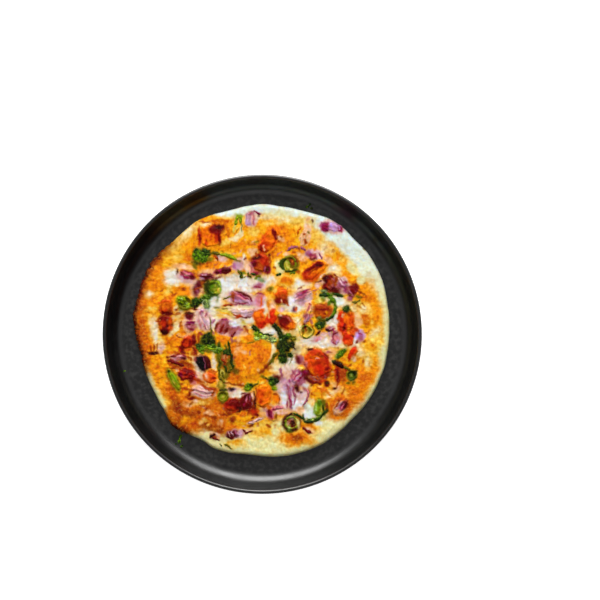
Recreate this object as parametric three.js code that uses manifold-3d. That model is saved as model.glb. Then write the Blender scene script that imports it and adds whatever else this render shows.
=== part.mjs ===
// A tomato and onion uttapam, the thick griddled rice pancake, served on a black stoneware plate.
// Units are millimetres and +Z is up. The origin is the middle of the plate's foot, on the table.
// +X points to the diner's right and +Y away from the diner.
//
// The pancake lies on the plate's floor with its browned side up. Tomato, red onion and green chilli
// were pressed into the wet batter, so each piece sits in a pocket of its own outline.

import * as THREE from "three";
import { mergeVertices } from "three/addons/utils/BufferGeometryUtils.js";
import Module from "manifold-3d";

const wasm = await Module();
wasm.setup();

// ---------------------------------------------------------------- driving dimensions

const PLATE = {
  radius: 130, // to the outside of the rim
  height: 23.5, // table to the top of the rim
  floorRadius: 113, // where the flat floor ends and the cove begins
  floorHeight: 5.6, // table to the eating surface
  coveRadius: 11,
  coveSweep: 70, // degrees that the cove turns before the straight wall
  rimWidth: 3.4, // thickness of the wall at its rounded top
  footRadius: 86,
  footWidth: 6,
  footHeight: 1.4,
  underCove: 17, // how far in from the rim the outside of the wall starts to rise
  segments: 64,
};

const PANCAKE = {
  thickness: 6.6,
  typicalRadius: 103,
  edgeRun: 10, // width of the band in which the top falls away to the edge
  edgeHeight: 1.6, // lowest part of the side, which stands nearly upright
  undercut: 1.4, // how far the underside is drawn in from the widest outline
  ripple: 0.35, // height of the slow waves in the top
  rings: 3,
  segments: 48,
};

const GAP = 0.3; // clearance between pieces that touch
const POCKET_GROW = 0.42; // how much wider than its piece a pocket is, all round

// How each kind of topping is cut: its thickness, how far it stands proud of the batter, and how
// far its upper edge is eased.
const CUT = {
  tomato: { thickness: 4.2, proud: 1.1, ease: 0.8 },
  onion: { thickness: 2.8, proud: 0.8, ease: 0.5 },
  chilli: { thickness: 2.8, proud: 0.9, ease: 0.45 },
};

const COLOUR = {
  plate: 0x26282a,
  pancake: 0xe9a447,
  tomato: 0xd9531c,
  onion: 0xb0668c,
  chilli: 0x6f9a2c,
};

// The pancake's uneven outline: [angle in degrees, radius], from +X towards +Y.
const OUTLINE = [
  [0, 104], [14, 105.8], [26, 107.8], [38, 109], [47, 107.8], [56, 110.4], [64, 108.1], [76, 105.7],
  [92, 106.7], [107, 104.8], [118, 107.3], [132, 105.7], [148, 108.2], [165, 106.2], [176, 106],
  [185, 101.3], [196, 101.2], [212, 101.5], [221, 103.1], [227.5, 107.2], [232.5, 102.6], [238, 100.5],
  [250, 102.3], [264, 99.5], [277, 101.8], [298, 103.2], [315, 101.7], [330, 103], [345, 103.6],
];

// Diced tomato: [x, y, length, width, turn in degrees].
const TOMATOES = [
  [-43, 80.5, 18.5, 16.5, 80],
  [5, 76, 21, 11.5, 55],
  [-1.2, 58, 15.5, 9.5, 75],
  [43.5, 52.8, 22.5, 10.5, 34],
  [15.5, 30, 12.5, 10.5, 90],
  [-2, 12.2, 14, 8.5, 108],
  [9.2, 13.8, 11.5, 6.5, 62],
  [21.3, 9, 14, 10.5, -22],
  [48, 18, 12, 12, 0],
  [68, 11.4, 16, 13, 90],
  [69.8, -4, 11.5, 9.5, -72],
  [74, -16, 12, 5.5, 66],
  [45.4, -24.2, 24.5, 20, -50],
  [1.2, -50.5, 17.5, 11.5, 90],
  [-43.3, -35.8, 11.5, 8.5, -10],
  [-79.4, 7.2, 15, 9.8, 75],
  [-79, 23, 11.5, 9.5, 90],
  [-61, -6.8, 12.5, 9.5, 52],
  [-24.6, -58.6, 10.2, 9, 0],
];

// Red onion, cut from the bulb's curved layers: [x, y, length along the arc, width, turn, bend].
// Turn and bend are in degrees, and a positive bend curls the ends towards the piece's left.
const ONIONS = [
  [-10, 94, 10.5, 7.5, 92, 10],
  [57.3, 87.2, 16.5, 7, -8, 8],
  [-61.6, 48, 12.5, 6.4, -20, 15],
  [-46, 47.2, 11.5, 4.8, -6, -12],
  [-31.5, 51.6, 14, 4.8, 12, -14],
  [-18.4, 28.4, 18, 9, -24, 20],
  [-15.8, 17.6, 18.5, 7.2, 4, 34],
  [-32, 6.4, 12.5, 9.5, 72, 12],
  [-59.4, 9, 15, 7.6, 82, 10],
  [-47.6, 11.8, 17.5, 8.6, -64, 26],
  [-48.2, -23.5, 13, 10.4, -62, 6],
  [-69.5, -19, 13.5, 5.2, -4, 18],
  [-63, -33, 14.5, 7.2, -14, 18],
  [-48.5, -47.4, 19.5, 8.6, -8, 40],
  [53.6, 42.6, 14.5, 9.5, -52, 12],
  [65, 41.6, 10.2, 6.2, -48, 10],
  [75, 35.4, 10.5, 7.2, -32, -10],
  [33, 31, 14.5, 7, 24, 20],
  [37.2, 17, 15, 5.8, 74, 18],
  [58.4, -1.6, 14, 7.2, -74, 26],
  [29.4, -34, 14.5, 8, 66, 16],
  [22, -50.5, 20.5, 5.2, -80, 24],
  [8, -66.2, 11.5, 6.2, 100, 10],
  [-24.6, -82, 10.5, 8, 10, 6],
  [-12.8, -54.4, 13.5, 11, 66, 12],
  [65.2, -58.2, 12, 7.8, 56, 12],
  [33.8, 79, 14.5, 5.6, 82, -22],
];

// Rings cut across a green chilli: [x, y, outer diameter, wall].
const CHILLI_RINGS = [
  [21.6, 57.4, 14.2, 2.3],
  [-39.8, 38.1, 12.8, 2.6],
  [-63.8, 25.6, 12.8, 2.8],
  [35.8, 1.8, 12, 1.8],
  [-32.6, -51, 10, 2],
  [23.8, -72.8, 12.4, 2.2],
  [73, -33.8, 10, 2.2],
];

// Opened rings and strips of chilli: [x, y, length along the arc, width, turn, bend].
const CHILLI_STRIPS = [
  [59.6, 22, 24.5, 2.6, -92, -120],
  [46.5, -60.4, 13.5, 8.4, 84, 20],
  [-72.6, -37.4, 19.5, 4.8, -62, 8],
];

// ---------------------------------------------------------------- small helpers

const radians = THREE.MathUtils.degToRad;

// A closed mesh as a manifold-3d solid, for cutting and joining.
function toSolid(geometry) {
  const bare = geometry.clone();
  bare.deleteAttribute("normal");
  bare.deleteAttribute("uv");
  const merged = mergeVertices(bare, 1e-4);
  return new wasm.Manifold(
    new wasm.Mesh({
      numProp: 3,
      vertProperties: merged.attributes.position.array,
      triVerts: new Uint32Array(merged.index.array),
    }),
  );
}

function toGeometry(solid) {
  const mesh = solid.getMesh();
  const geometry = new THREE.BufferGeometry();
  geometry.setAttribute("position", new THREE.BufferAttribute(mesh.vertProperties, 3));
  geometry.setIndex(new THREE.BufferAttribute(mesh.triVerts, 1));
  geometry.computeVertexNormals();
  return geometry;
}

function material(kind, roughness) {
  const color = COLOUR[kind];
  return new THREE.MeshStandardMaterial({ color, roughness, metalness: 0, flatShading: true });
}

// ---------------------------------------------------------------- plate

// Half of the plate's section, from the axis under the foot, round the rim and back to the axis.
function plateProfile() {
  const p = PLATE;
  const sweep = radians(p.coveSweep);
  const quarter = Math.PI / 2;
  const coveCentre = { x: p.floorRadius, y: p.floorHeight + p.coveRadius };
  const coveEnd = {
    x: coveCentre.x + p.coveRadius * Math.sin(sweep),
    y: coveCentre.y - p.coveRadius * Math.cos(sweep),
  };
  const rimRadius = p.rimWidth / 2;
  const rimCentre = { x: p.radius - rimRadius, y: p.height - rimRadius };

  const path = new THREE.Path();
  path.moveTo(0, p.footHeight);
  path.lineTo(p.footRadius - p.footWidth, p.footHeight);
  path.lineTo(p.footRadius - p.footWidth + 1, 0);
  path.lineTo(p.footRadius - 1, 0);
  path.lineTo(p.footRadius, p.footHeight);
  path.lineTo(p.radius - p.underCove, p.footHeight);
  path.quadraticCurveTo(p.radius - 1.5, p.footHeight + 1, p.radius, rimCentre.y);
  path.absarc(rimCentre.x, rimCentre.y, rimRadius, 0, Math.PI, false);
  path.lineTo(coveEnd.x, coveEnd.y);
  path.absarc(coveCentre.x, coveCentre.y, p.coveRadius, sweep - quarter, -quarter, true);
  path.lineTo(0, p.floorHeight);
  return path.getPoints(2);
}

function plateGeometry() {
  const lathe = new THREE.LatheGeometry(plateProfile(), PLATE.segments);
  return toGeometry(toSolid(lathe.rotateX(Math.PI / 2)));
}

// ---------------------------------------------------------------- pancake

// The outline as a smooth closed curve through its points.
const outlineCurve = new THREE.CatmullRomCurve3(
  OUTLINE.map(([degrees, radius]) => {
    const angle = radians(degrees);
    return new THREE.Vector3(radius * Math.cos(angle), radius * Math.sin(angle), 0);
  }),
  true,
);
const outlineSamples = outlineCurve.getPoints(720).map((point) => ({
  angle: Math.atan2(point.y, point.x),
  radius: Math.hypot(point.x, point.y),
}));

// Distance from the middle to the outline in a direction.
function outlineRadius(angle) {
  const nearness = (sample) => Math.cos(sample.angle - angle);
  const nearest = outlineSamples.reduce((best, next) => (nearness(next) > nearness(best) ? next : best));
  return nearest.radius;
}

const pancakeBottom = PLATE.floorHeight + GAP;

// Height of the pancake's top at (x, y): level inside, rippled, and rounding down at the edge.
function topHeight(x, y) {
  const inset = outlineRadius(Math.atan2(y, x)) - Math.hypot(x, y);
  const rise = THREE.MathUtils.clamp(inset / PANCAKE.edgeRun, 0, 1);
  const shoulder = Math.sqrt(1 - (1 - rise) ** 2);
  const ripple = Math.sin(x / 17 + 1) * Math.cos(y / 21 - 0.5) + 0.5 * Math.sin((x - 2 * y) / 33);
  const dome = PANCAKE.edgeHeight + (PANCAKE.thickness - PANCAKE.edgeHeight) * shoulder;
  return pancakeBottom + dome + PANCAKE.ripple * ripple * rise;
}

// A lathed disc whose rings are then drawn out to the uneven outline and up to the rippled top.
// The profile's heights only number its levels: 0 the underside, 1 the widest part of the side, 2 the top.
function pancakeSolid() {
  const { rings, segments, edgeRun, undercut, typicalRadius: typical } = PANCAKE;
  const inner = typical - edgeRun;
  const shoulderRadii = [0.1, 0.42, 1].map((share) => typical - share * edgeRun);
  const topRadii = Array.from({ length: rings }, (_, ring) => (inner * (rings - 1 - ring)) / rings);
  const profile = [
    new THREE.Vector2(0, 0),
    new THREE.Vector2(typical - undercut, 0),
    new THREE.Vector2(typical, 1),
    ...[...shoulderRadii, ...topRadii].map((radius) => new THREE.Vector2(radius, 2)),
  ];
  const disc = new THREE.LatheGeometry(profile, segments).rotateX(Math.PI / 2);
  const position = disc.attributes.position;
  for (let i = 0; i < position.count; i++) {
    const level = Math.round(position.getZ(i));
    const angle = Math.atan2(position.getY(i), position.getX(i));
    const inset = typical - Math.hypot(position.getX(i), position.getY(i));
    const edge = outlineRadius(angle);
    const isShoulder = inset <= edgeRun + 1e-6;
    const radius = isShoulder ? edge - inset : ((typical - inset) / inner) * (edge - edgeRun);
    const x = Math.max(radius, 0) * Math.cos(angle);
    const y = Math.max(radius, 0) * Math.sin(angle);
    const heights = [pancakeBottom, pancakeBottom + PANCAKE.edgeHeight, topHeight(x, y)];
    position.setXYZ(i, x, y, heights[level]);
  }
  return toSolid(disc);
}

// ---------------------------------------------------------------- toppings

// A diced piece seen from above: a squarish oval with uneven sides, which differ from piece to piece.
function diceOutline(length, width, variety, grow) {
  const corners = 10;
  const square = (value) => Math.sign(value) * Math.abs(value) ** 0.72;
  return Array.from({ length: corners }, (_, i) => {
    const angle = (2 * Math.PI * (i + 0.5)) / corners;
    const uneven = 1 + 0.07 * Math.sin(2 * angle + 2.1 * variety) + 0.06 * Math.sin(3 * angle + variety);
    return new THREE.Vector2(
      (length / 2) * uneven * square(Math.cos(angle)) + grow * Math.cos(angle),
      (width / 2) * uneven * square(Math.sin(angle)) + grow * Math.sin(angle),
    );
  });
}

// A piece of a curved layer: a band along an arc, with blunt ends.
function bandOutline(length, width, bend, grow) {
  const stations = Math.max(4, Math.ceil(Math.abs(bend) / 20));
  const half = length / 2 + grow;
  const radius = length / radians(bend);
  const side = (sign) =>
    Array.from({ length: stations + 1 }, (_, i) => {
      const along = (-1 + (2 * i) / stations) * sign;
      const reach = (width / 2) * Math.sqrt(1 - 0.72 * Math.abs(along) ** 3) + grow;
      const turned = (along * half) / radius;
      return new THREE.Vector2(
        radius * Math.sin(turned) + sign * reach * Math.sin(turned),
        radius * (1 - Math.cos(turned)) - sign * reach * Math.cos(turned),
      );
    });
  return [...side(1), ...side(-1)];
}

// A slab over an outline, its underside at z = 0 and its upper edge eased inwards. The outline is
// a function of how far it is grown, and always has the same number of points.
function slab(outline, grow, thickness, ease) {
  const layers = [
    { z: 0, points: outline(grow) },
    { z: thickness - ease, points: outline(grow) },
    { z: thickness, points: outline(grow - ease) },
  ];
  const used = ease > 0 ? layers : [layers[0], layers[2]];
  const count = layers[0].points.length;
  const top = count * (used.length - 1);
  const faces = THREE.ShapeUtils.triangulateShape(layers[0].points, []);
  const index = faces.flatMap(([a, b, c]) => [a, c, b, top + a, top + b, top + c]);
  for (let start = 0; start < top; start += count) {
    for (let i = 0; i < count; i++) {
      const next = (i + 1) % count;
      const [a, b, c, d] = [start + i, start + next, start + count + next, start + count + i];
      index.push(a, b, c, a, c, d);
    }
  }
  const positions = used.flatMap(({ z, points }) => points.flatMap((point) => [point.x, point.y, z]));
  const geometry = new THREE.BufferGeometry();
  geometry.setAttribute("position", new THREE.Float32BufferAttribute(positions, 3));
  geometry.setIndex(index);
  return toSolid(geometry);
}

// A ring, its underside at z = 0 and its outer upper edge eased.
function ring(diameter, wall, grow, thickness, ease) {
  const outer = diameter / 2 + grow;
  const inner = diameter / 2 - wall - grow;
  const profile = new THREE.Path();
  profile.moveTo(inner, 0);
  profile.lineTo(outer, 0);
  profile.lineTo(outer, thickness - ease);
  profile.lineTo(outer - ease, thickness);
  profile.lineTo(inner, thickness);
  profile.lineTo(inner, 0);
  return toSolid(new THREE.LatheGeometry(profile.getPoints(), 12).rotateX(Math.PI / 2));
}

// Sets a piece into the batter. shape(grow, thickness, ease) makes it about the origin. Its pocket
// is the same shape grown all round and open at the top.
function pressIn(kind, x, y, turn, shape) {
  const { thickness, proud, ease } = CUT[kind];
  const base = topHeight(x, y) + proud - thickness;
  const place = (solid, z) => solid.rotate([0, 0, turn]).translate([x, y, z]);
  return {
    kind,
    solid: place(shape(0, thickness, ease), base),
    pocket: place(shape(POCKET_GROW, thickness + 3, 0), base - GAP),
  };
}

const tomatoes = TOMATOES.map(([x, y, length, width, turn], i) => {
  const outline = (grow) => diceOutline(length, width, i, grow);
  return pressIn("tomato", x, y, turn, (...sizes) => slab(outline, ...sizes));
});

function bands(kind, table) {
  return table.map(([x, y, length, width, turn, bend]) => {
    const outline = (grow) => bandOutline(length, width, bend, grow);
    return pressIn(kind, x, y, turn, (...sizes) => slab(outline, ...sizes));
  });
}

const chilliRings = CHILLI_RINGS.map(([x, y, diameter, wall]) =>
  pressIn("chilli", x, y, 0, (...sizes) => ring(diameter, wall, ...sizes)),
);

const named = (name, pieces) =>
  pieces.map((piece, i) => ({ ...piece, name: `${name}_${String(i + 1).padStart(2, "0")}` }));

const toppings = [
  ...named("tomato", tomatoes),
  ...named("onion", bands("onion", ONIONS)),
  ...named("chilli_ring", chilliRings),
  ...named("chilli_strip", bands("chilli", CHILLI_STRIPS)),
];

// ---------------------------------------------------------------- the object

const uttapam = new THREE.Group();

const plate = new THREE.Mesh(plateGeometry(), material("plate", 0.45));
plate.name = "plate";
uttapam.add(plate);

const batter = toppings.reduce((solid, { pocket }) => solid.subtract(pocket), pancakeSolid());
const pancake = new THREE.Mesh(toGeometry(batter), material("pancake", 0.6));
pancake.name = "pancake";
uttapam.add(pancake);

for (const { name, kind, solid } of toppings) {
  const piece = new THREE.Mesh(toGeometry(solid), material(kind, 0.4));
  piece.name = name;
  uttapam.add(piece);
}

export default uttapam;
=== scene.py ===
"""A tomato and onion uttapam on a black stoneware plate, dressed for rendering around its CAD frame.

Shapes are worked out in millimetres in the frame's own axes and written to Blender in metres. Each noise
and random draw has a fixed seed, so the dish always comes out the same.
"""

import math

import bpy
import numpy as np
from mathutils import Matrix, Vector


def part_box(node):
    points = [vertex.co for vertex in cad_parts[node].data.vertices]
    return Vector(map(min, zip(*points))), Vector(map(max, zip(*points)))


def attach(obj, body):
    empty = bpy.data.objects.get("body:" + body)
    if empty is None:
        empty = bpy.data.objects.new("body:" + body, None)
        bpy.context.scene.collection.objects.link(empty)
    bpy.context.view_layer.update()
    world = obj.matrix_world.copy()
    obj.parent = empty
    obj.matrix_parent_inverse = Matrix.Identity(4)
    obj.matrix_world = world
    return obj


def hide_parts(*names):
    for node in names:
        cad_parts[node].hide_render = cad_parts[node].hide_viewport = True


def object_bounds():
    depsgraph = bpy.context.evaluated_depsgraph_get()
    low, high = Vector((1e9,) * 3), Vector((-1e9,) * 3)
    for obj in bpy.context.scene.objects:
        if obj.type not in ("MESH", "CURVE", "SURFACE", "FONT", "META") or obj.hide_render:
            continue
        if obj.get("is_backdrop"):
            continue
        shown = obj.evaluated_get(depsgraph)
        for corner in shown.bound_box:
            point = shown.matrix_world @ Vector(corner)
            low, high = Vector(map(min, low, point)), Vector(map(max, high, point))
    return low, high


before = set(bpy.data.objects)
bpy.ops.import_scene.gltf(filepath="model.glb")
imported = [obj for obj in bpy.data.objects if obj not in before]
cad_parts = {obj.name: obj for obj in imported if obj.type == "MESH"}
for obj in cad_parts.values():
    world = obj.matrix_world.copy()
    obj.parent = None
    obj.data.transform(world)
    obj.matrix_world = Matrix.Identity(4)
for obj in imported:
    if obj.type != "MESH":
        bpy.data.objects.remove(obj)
cad_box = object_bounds()

MM = 0.001
GLOSS = 0.014  # the light that a greasy surface reflects straight to the camera, whatever its colour
DARKEST = 0.0015  # no stored colour is darker than this


# ---- colours

# Each tone as it looks on a screen, and how crusty it is: 0 for smooth and moist, 1 for browned.
TONES = {
    "milk": (233, 234, 233, 0.05), "ivory": (246, 226, 172, 0.25), "butter": (252, 208, 92, 0.5),
    "gold": (254, 174, 32, 0.8), "amber": (246, 142, 12, 0.9), "toast": (218, 106, 12, 1.0),
    "burnt": (146, 58, 12, 1.0), "char": (74, 34, 12, 0.9), "custard": (236, 228, 164, 0.1),
    "mint": (229, 238, 224, 0.05), "peach": (242, 190, 142, 0.3),
    "tangerine": (248, 124, 8, 0.6), "flame": (226, 82, 8, 0.6), "brick": (196, 54, 10, 0.6),
    "red": (212, 48, 8, 0.5), "rust": (168, 66, 12, 0.7), "maroon": (112, 18, 8, 0.5),
    "scorch": (60, 14, 6, 0.5),
    "blush": (228, 184, 174, 0.2), "pink": (210, 118, 122, 0.3), "rose": (170, 88, 86, 0.4),
    "lilac": (200, 150, 168, 0.2), "mauve": (168, 88, 110, 0.3), "magenta": (142, 28, 66, 0.4),
    "plum": (86, 14, 26, 0.4), "ink": (28, 10, 26, 0.4),
    "sprout": (166, 190, 92, 0.4), "lime": (138, 160, 28, 0.5), "fern": (86, 120, 16, 0.5),
    "moss": (48, 68, 10, 0.5), "night": (46, 53, 6, 0.5), "sage": (122, 140, 84, 0.4),
    # dusk is painted shade: the greyish beige of batter lying in shadow beside the herbs.
    "olive": (110, 100, 20, 0.5), "straw": (224, 198, 84, 0.4), "dusk": (184, 168, 132, 0.2),
    "orchid": (204, 158, 214, 0.2),
}


def linear(screen):
    """Screen values, 0 to 1, as Blender's linear ones."""
    screen = np.asarray(screen, float)
    return np.where(screen <= 0.04045, screen / 12.92, ((screen + 0.055) / 1.055) ** 2.4)


def srgb(red, green, blue):
    """A screen colour, 0 to 255, as a node's colour."""
    return (*linear(np.array([red, green, blue]) / 255).tolist(), 1.0)


def tone(name):
    """A tone as four values, 0 to 1."""
    red, green, blue, crust = TONES[name]
    return np.array([red / 255, green / 255, blue / 255, crust])


def coat(name, x):
    """The same tone at each of the points whose x is given."""
    return np.zeros((*np.shape(x), 4)) + tone(name)


def over(colour, above, share):
    """Colours with another laid over them. share is how much of them it hides at each point."""
    share = np.asarray(share)[..., None]
    return colour * (1 - share) + above * share


# ---- numbers and noise

LATTICE = 256  # steps after which the noise repeats, a power of two
CELL_TILE = 64  # cells after which their points repeat
FINER = 2.03  # how much finer each octave of noise is than the one before


def smooth(low, high, value):
    """0 at low, 1 at high, with an eased step between. high may be the smaller of the two."""
    share = np.clip((value - low) / (high - low), 0, 1)
    return share * share * (3 - 2 * share)


def fade(share):
    """Perlin's own eased step from 0 to 1."""
    return share * share * share * (share * (6 * share - 15) + 10)


def gradient_noise(x, y, seed):
    """Perlin noise on a unit lattice, about -1 to 1."""
    rng = np.random.default_rng(seed)
    table = rng.permutation(LATTICE)
    angles = rng.uniform(0, math.tau, LATTICE)
    xi, yi = np.floor(x).astype(int), np.floor(y).astype(int)
    xf, yf = x - xi, y - yi
    last = LATTICE - 1

    def corner(dx, dy):
        turn = angles[table[(table[(xi + dx) & last] + yi + dy) & last]]
        return np.cos(turn) * (xf - dx) + np.sin(turn) * (yf - dy)

    u, v = fade(xf), fade(yf)
    near = corner(0, 0) * (1 - u) + corner(1, 0) * u
    far = corner(0, 1) * (1 - u) + corner(1, 1) * u
    return 1.5 * (near * (1 - v) + far * v)


def fractal(x, y, size, octaves, seed):
    """Noise whose largest features are size millimetres across. Each finer octave is half as strong."""
    total, weight, scale = 0, 1.0, 1.0 / size
    for octave in range(octaves):
        u, v = x * scale + 17 * octave, y * scale - 9 * octave
        total = total + weight * gradient_noise(u, v, seed + octave)
        weight /= 2
        scale *= FINER
    return total


def cells(x, y, size, seed):
    """Distances to the nearest and second nearest of one random point per square cell, in cells."""
    rng = np.random.default_rng(seed)
    jitter = rng.uniform(0.1, 0.9, (CELL_TILE, CELL_TILE, 2))
    gx, gy = x / size, y / size
    xi, yi = np.floor(gx).astype(int), np.floor(gy).astype(int)
    first, second = np.full(np.shape(x), 9.0), np.full(np.shape(x), 9.0)
    for dx in (-1, 0, 1):
        for dy in (-1, 0, 1):
            cx, cy = xi + dx, yi + dy
            place = jitter[cx % CELL_TILE, cy % CELL_TILE]
            away = np.hypot(cx + place[..., 0] - gx, cy + place[..., 1] - gy)
            second = np.where(away < first, first, np.minimum(second, away))
            first = np.minimum(first, away)
    return first, second


def bearing(angle):
    """An angle in radians as 0 to 360 degrees."""
    return np.degrees(angle) % 360


# ---- markings

# Every patch and piece on the pancake, in the order that they lie. In all these tables x
# and y are millimetres from the plate's middle, turns are degrees, and a turn or a bend of 0 is left out:
#   an oval:    tone x y length width turn
#   a stroke:   tone x1 y1 to x2 y2 width bend
# One that starts with leaf, sliver or stem is also made as a raised piece.
# dusk 27.6 -14 is painted shade beside the centre herbs
CRUST_PATCHES = """
amber -88 40 34 20 75; toast -99 12 62 8 92; toast -97 -8 24 7 105; amber -86 -28 44 14 112
gold -80 -20 16 14; toast -54 -63 60 32 22; toast -74 -48 34 9 118; burnt -69 -61 16 8 120
burnt -60 -68 14 6 20; burnt -46 -76 12 5 -14; burnt -33 -74 16 14 20; toast -30 -72 24 14 -12
amber -24 73 26 8 -6; amber -60 68 10 16; toast -60 63 6 8; amber -36 91 22 5 5; amber -40 56 26 7 8
amber 12 88 14 12 60; amber 20 80 14 16; amber 12 68 12 10; amber 30 62 10 12; amber -66 36 20 9 12
amber -72 -6 16 9; amber -67 8 5 16; amber -12 -20 42 36; toast -24 -36 16 8 -10; toast -22 -24 9 28
burnt -31 -24 7 12; burnt -23 -30 6 6; olive -21.6 -30 4 5; butter -30 75 12 5; gold -82 -36 14 8 112
peach -34.4 -73 4 6; peach -49 -71.6 5 4; gold -62 -71 8 5; gold -9 -34 16 9; amber 67 -36 13 20 -8
toast 65.6 -28 8 8; toast 67 -52 8 8; toast 62 -64 18 14 20; toast 74 -52 22 16 55; amber 84 -34 34 18 68
toast 85.6 -36 12 7 66; amber 92 22 36 9 98; amber 83 33 16 9 -55; amber 62 64 16 5 -60
amber 70 46 12 8 -50; butter -74 71 16 9 45; butter -70 62 9 6; ivory -61 83 20 8 42; butter 24 92 30 8 -4
ivory 18 94 12 5; butter 33 92 12 7 -10; butter 44 79 10 11; ivory 51 70 12 10 -40; butter 93 -3 14 11 90
ivory 92 1 8 5 30; butter 86 -21 16 6 95; ivory 86 -22 9 3 95; butter 83 18 16 13 40; ivory 83 21 8 5 20
ivory -92 32 9 6; butter -92 22 8 5 30; peach -60 -57 8 6; butter -51 -55.5 16 4 6; peach -43.5 -64 8 4.5
butter -48 -72 6 3; butter -84 -7 12 7 -30; butter -77 36 15 5 68; ivory -69 18 12 5 75
milk -88 2 22 7 96; ivory -72 5 13 4.6 56; milk -74 47 15 13 20; milk -67 43 18 6 -6; peach -58 43 8 6
milk -20 42 42 13 -8; milk -34 42 12 8; milk -38 27 14 14; milk -28 36 16 12; mint -45 30 6 18
sage -37.6 29.6 2.6 7; sage 60 26.4 5.6 6.4; milk 3 44 16 8; milk -46 13 26 18 -20; milk -21 8 20 8
ivory -37 16 10 8; milk -14 18 34 14; peach -20 -9.6 14 4 82; milk 2 24 14 12; milk 8 2 24 9 -4
milk 26 24 22 16; ivory 30 38 16 10; milk 33 42 12 6; milk 57 54 9 7 20; ivory 62 50 8 8
milk 62 27 22 9 -18; mint 64 27 6 7; milk 58 11 12 15; peach 77 9 6 18 4; milk 43 -7 40 9 2
ivory 28 7 12 16; ivory 30 -13 10 9; dusk 27.6 -14 6 8; milk 22 -24 14 14; ivory 11 -27 14 10
ivory 12 -40 12 14; blush 24 -46 28 36 10; milk 30 -54 14 14 20; blush 30 -50 9 9; milk 38 -65 15 13
blush 10 -62 24 10 10; milk -20 -49 22 9 -6; milk -51 -29 8 24 22; peach -54 -37 10 12; ivory -33 -42 9 6
ivory 56 -48 16 6 48; butter 67.5 -48 12 3.4 -72; peach 60 -43 9 6 -60; milk 76 -8 10 16 10
ivory 79 -13 8 12 10; peach 56 -15 12 6; custard 12 98.6 16 6 -4; custard 13 -78 16 14 60
gold -17 -70 20 11 8; butter 0 -79 22 12 4; gold 3 -80 12 6; butter -22 -89 18 8 8; gold -22 -89 10 4 8
butter 43 -77 12 7 -10; amber 38 -75.5 14 3 -8; butter 29 -86 30 12; amber 27 -86 25 10
toast 28.6 -85.5 16 7.4; burnt 29.4 -85.4 7.4 4
"""

# dusk 35 -60 is painted shade
# olive -57 57 is a painted shadow under the upper left leaves
# stem and leaves, upper left; night -54 58 is a painted shadow under the leaves
# tomatoes 10, 11, 12; peach 66 15 is a painted highlight on tomato 10's left lobe
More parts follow.
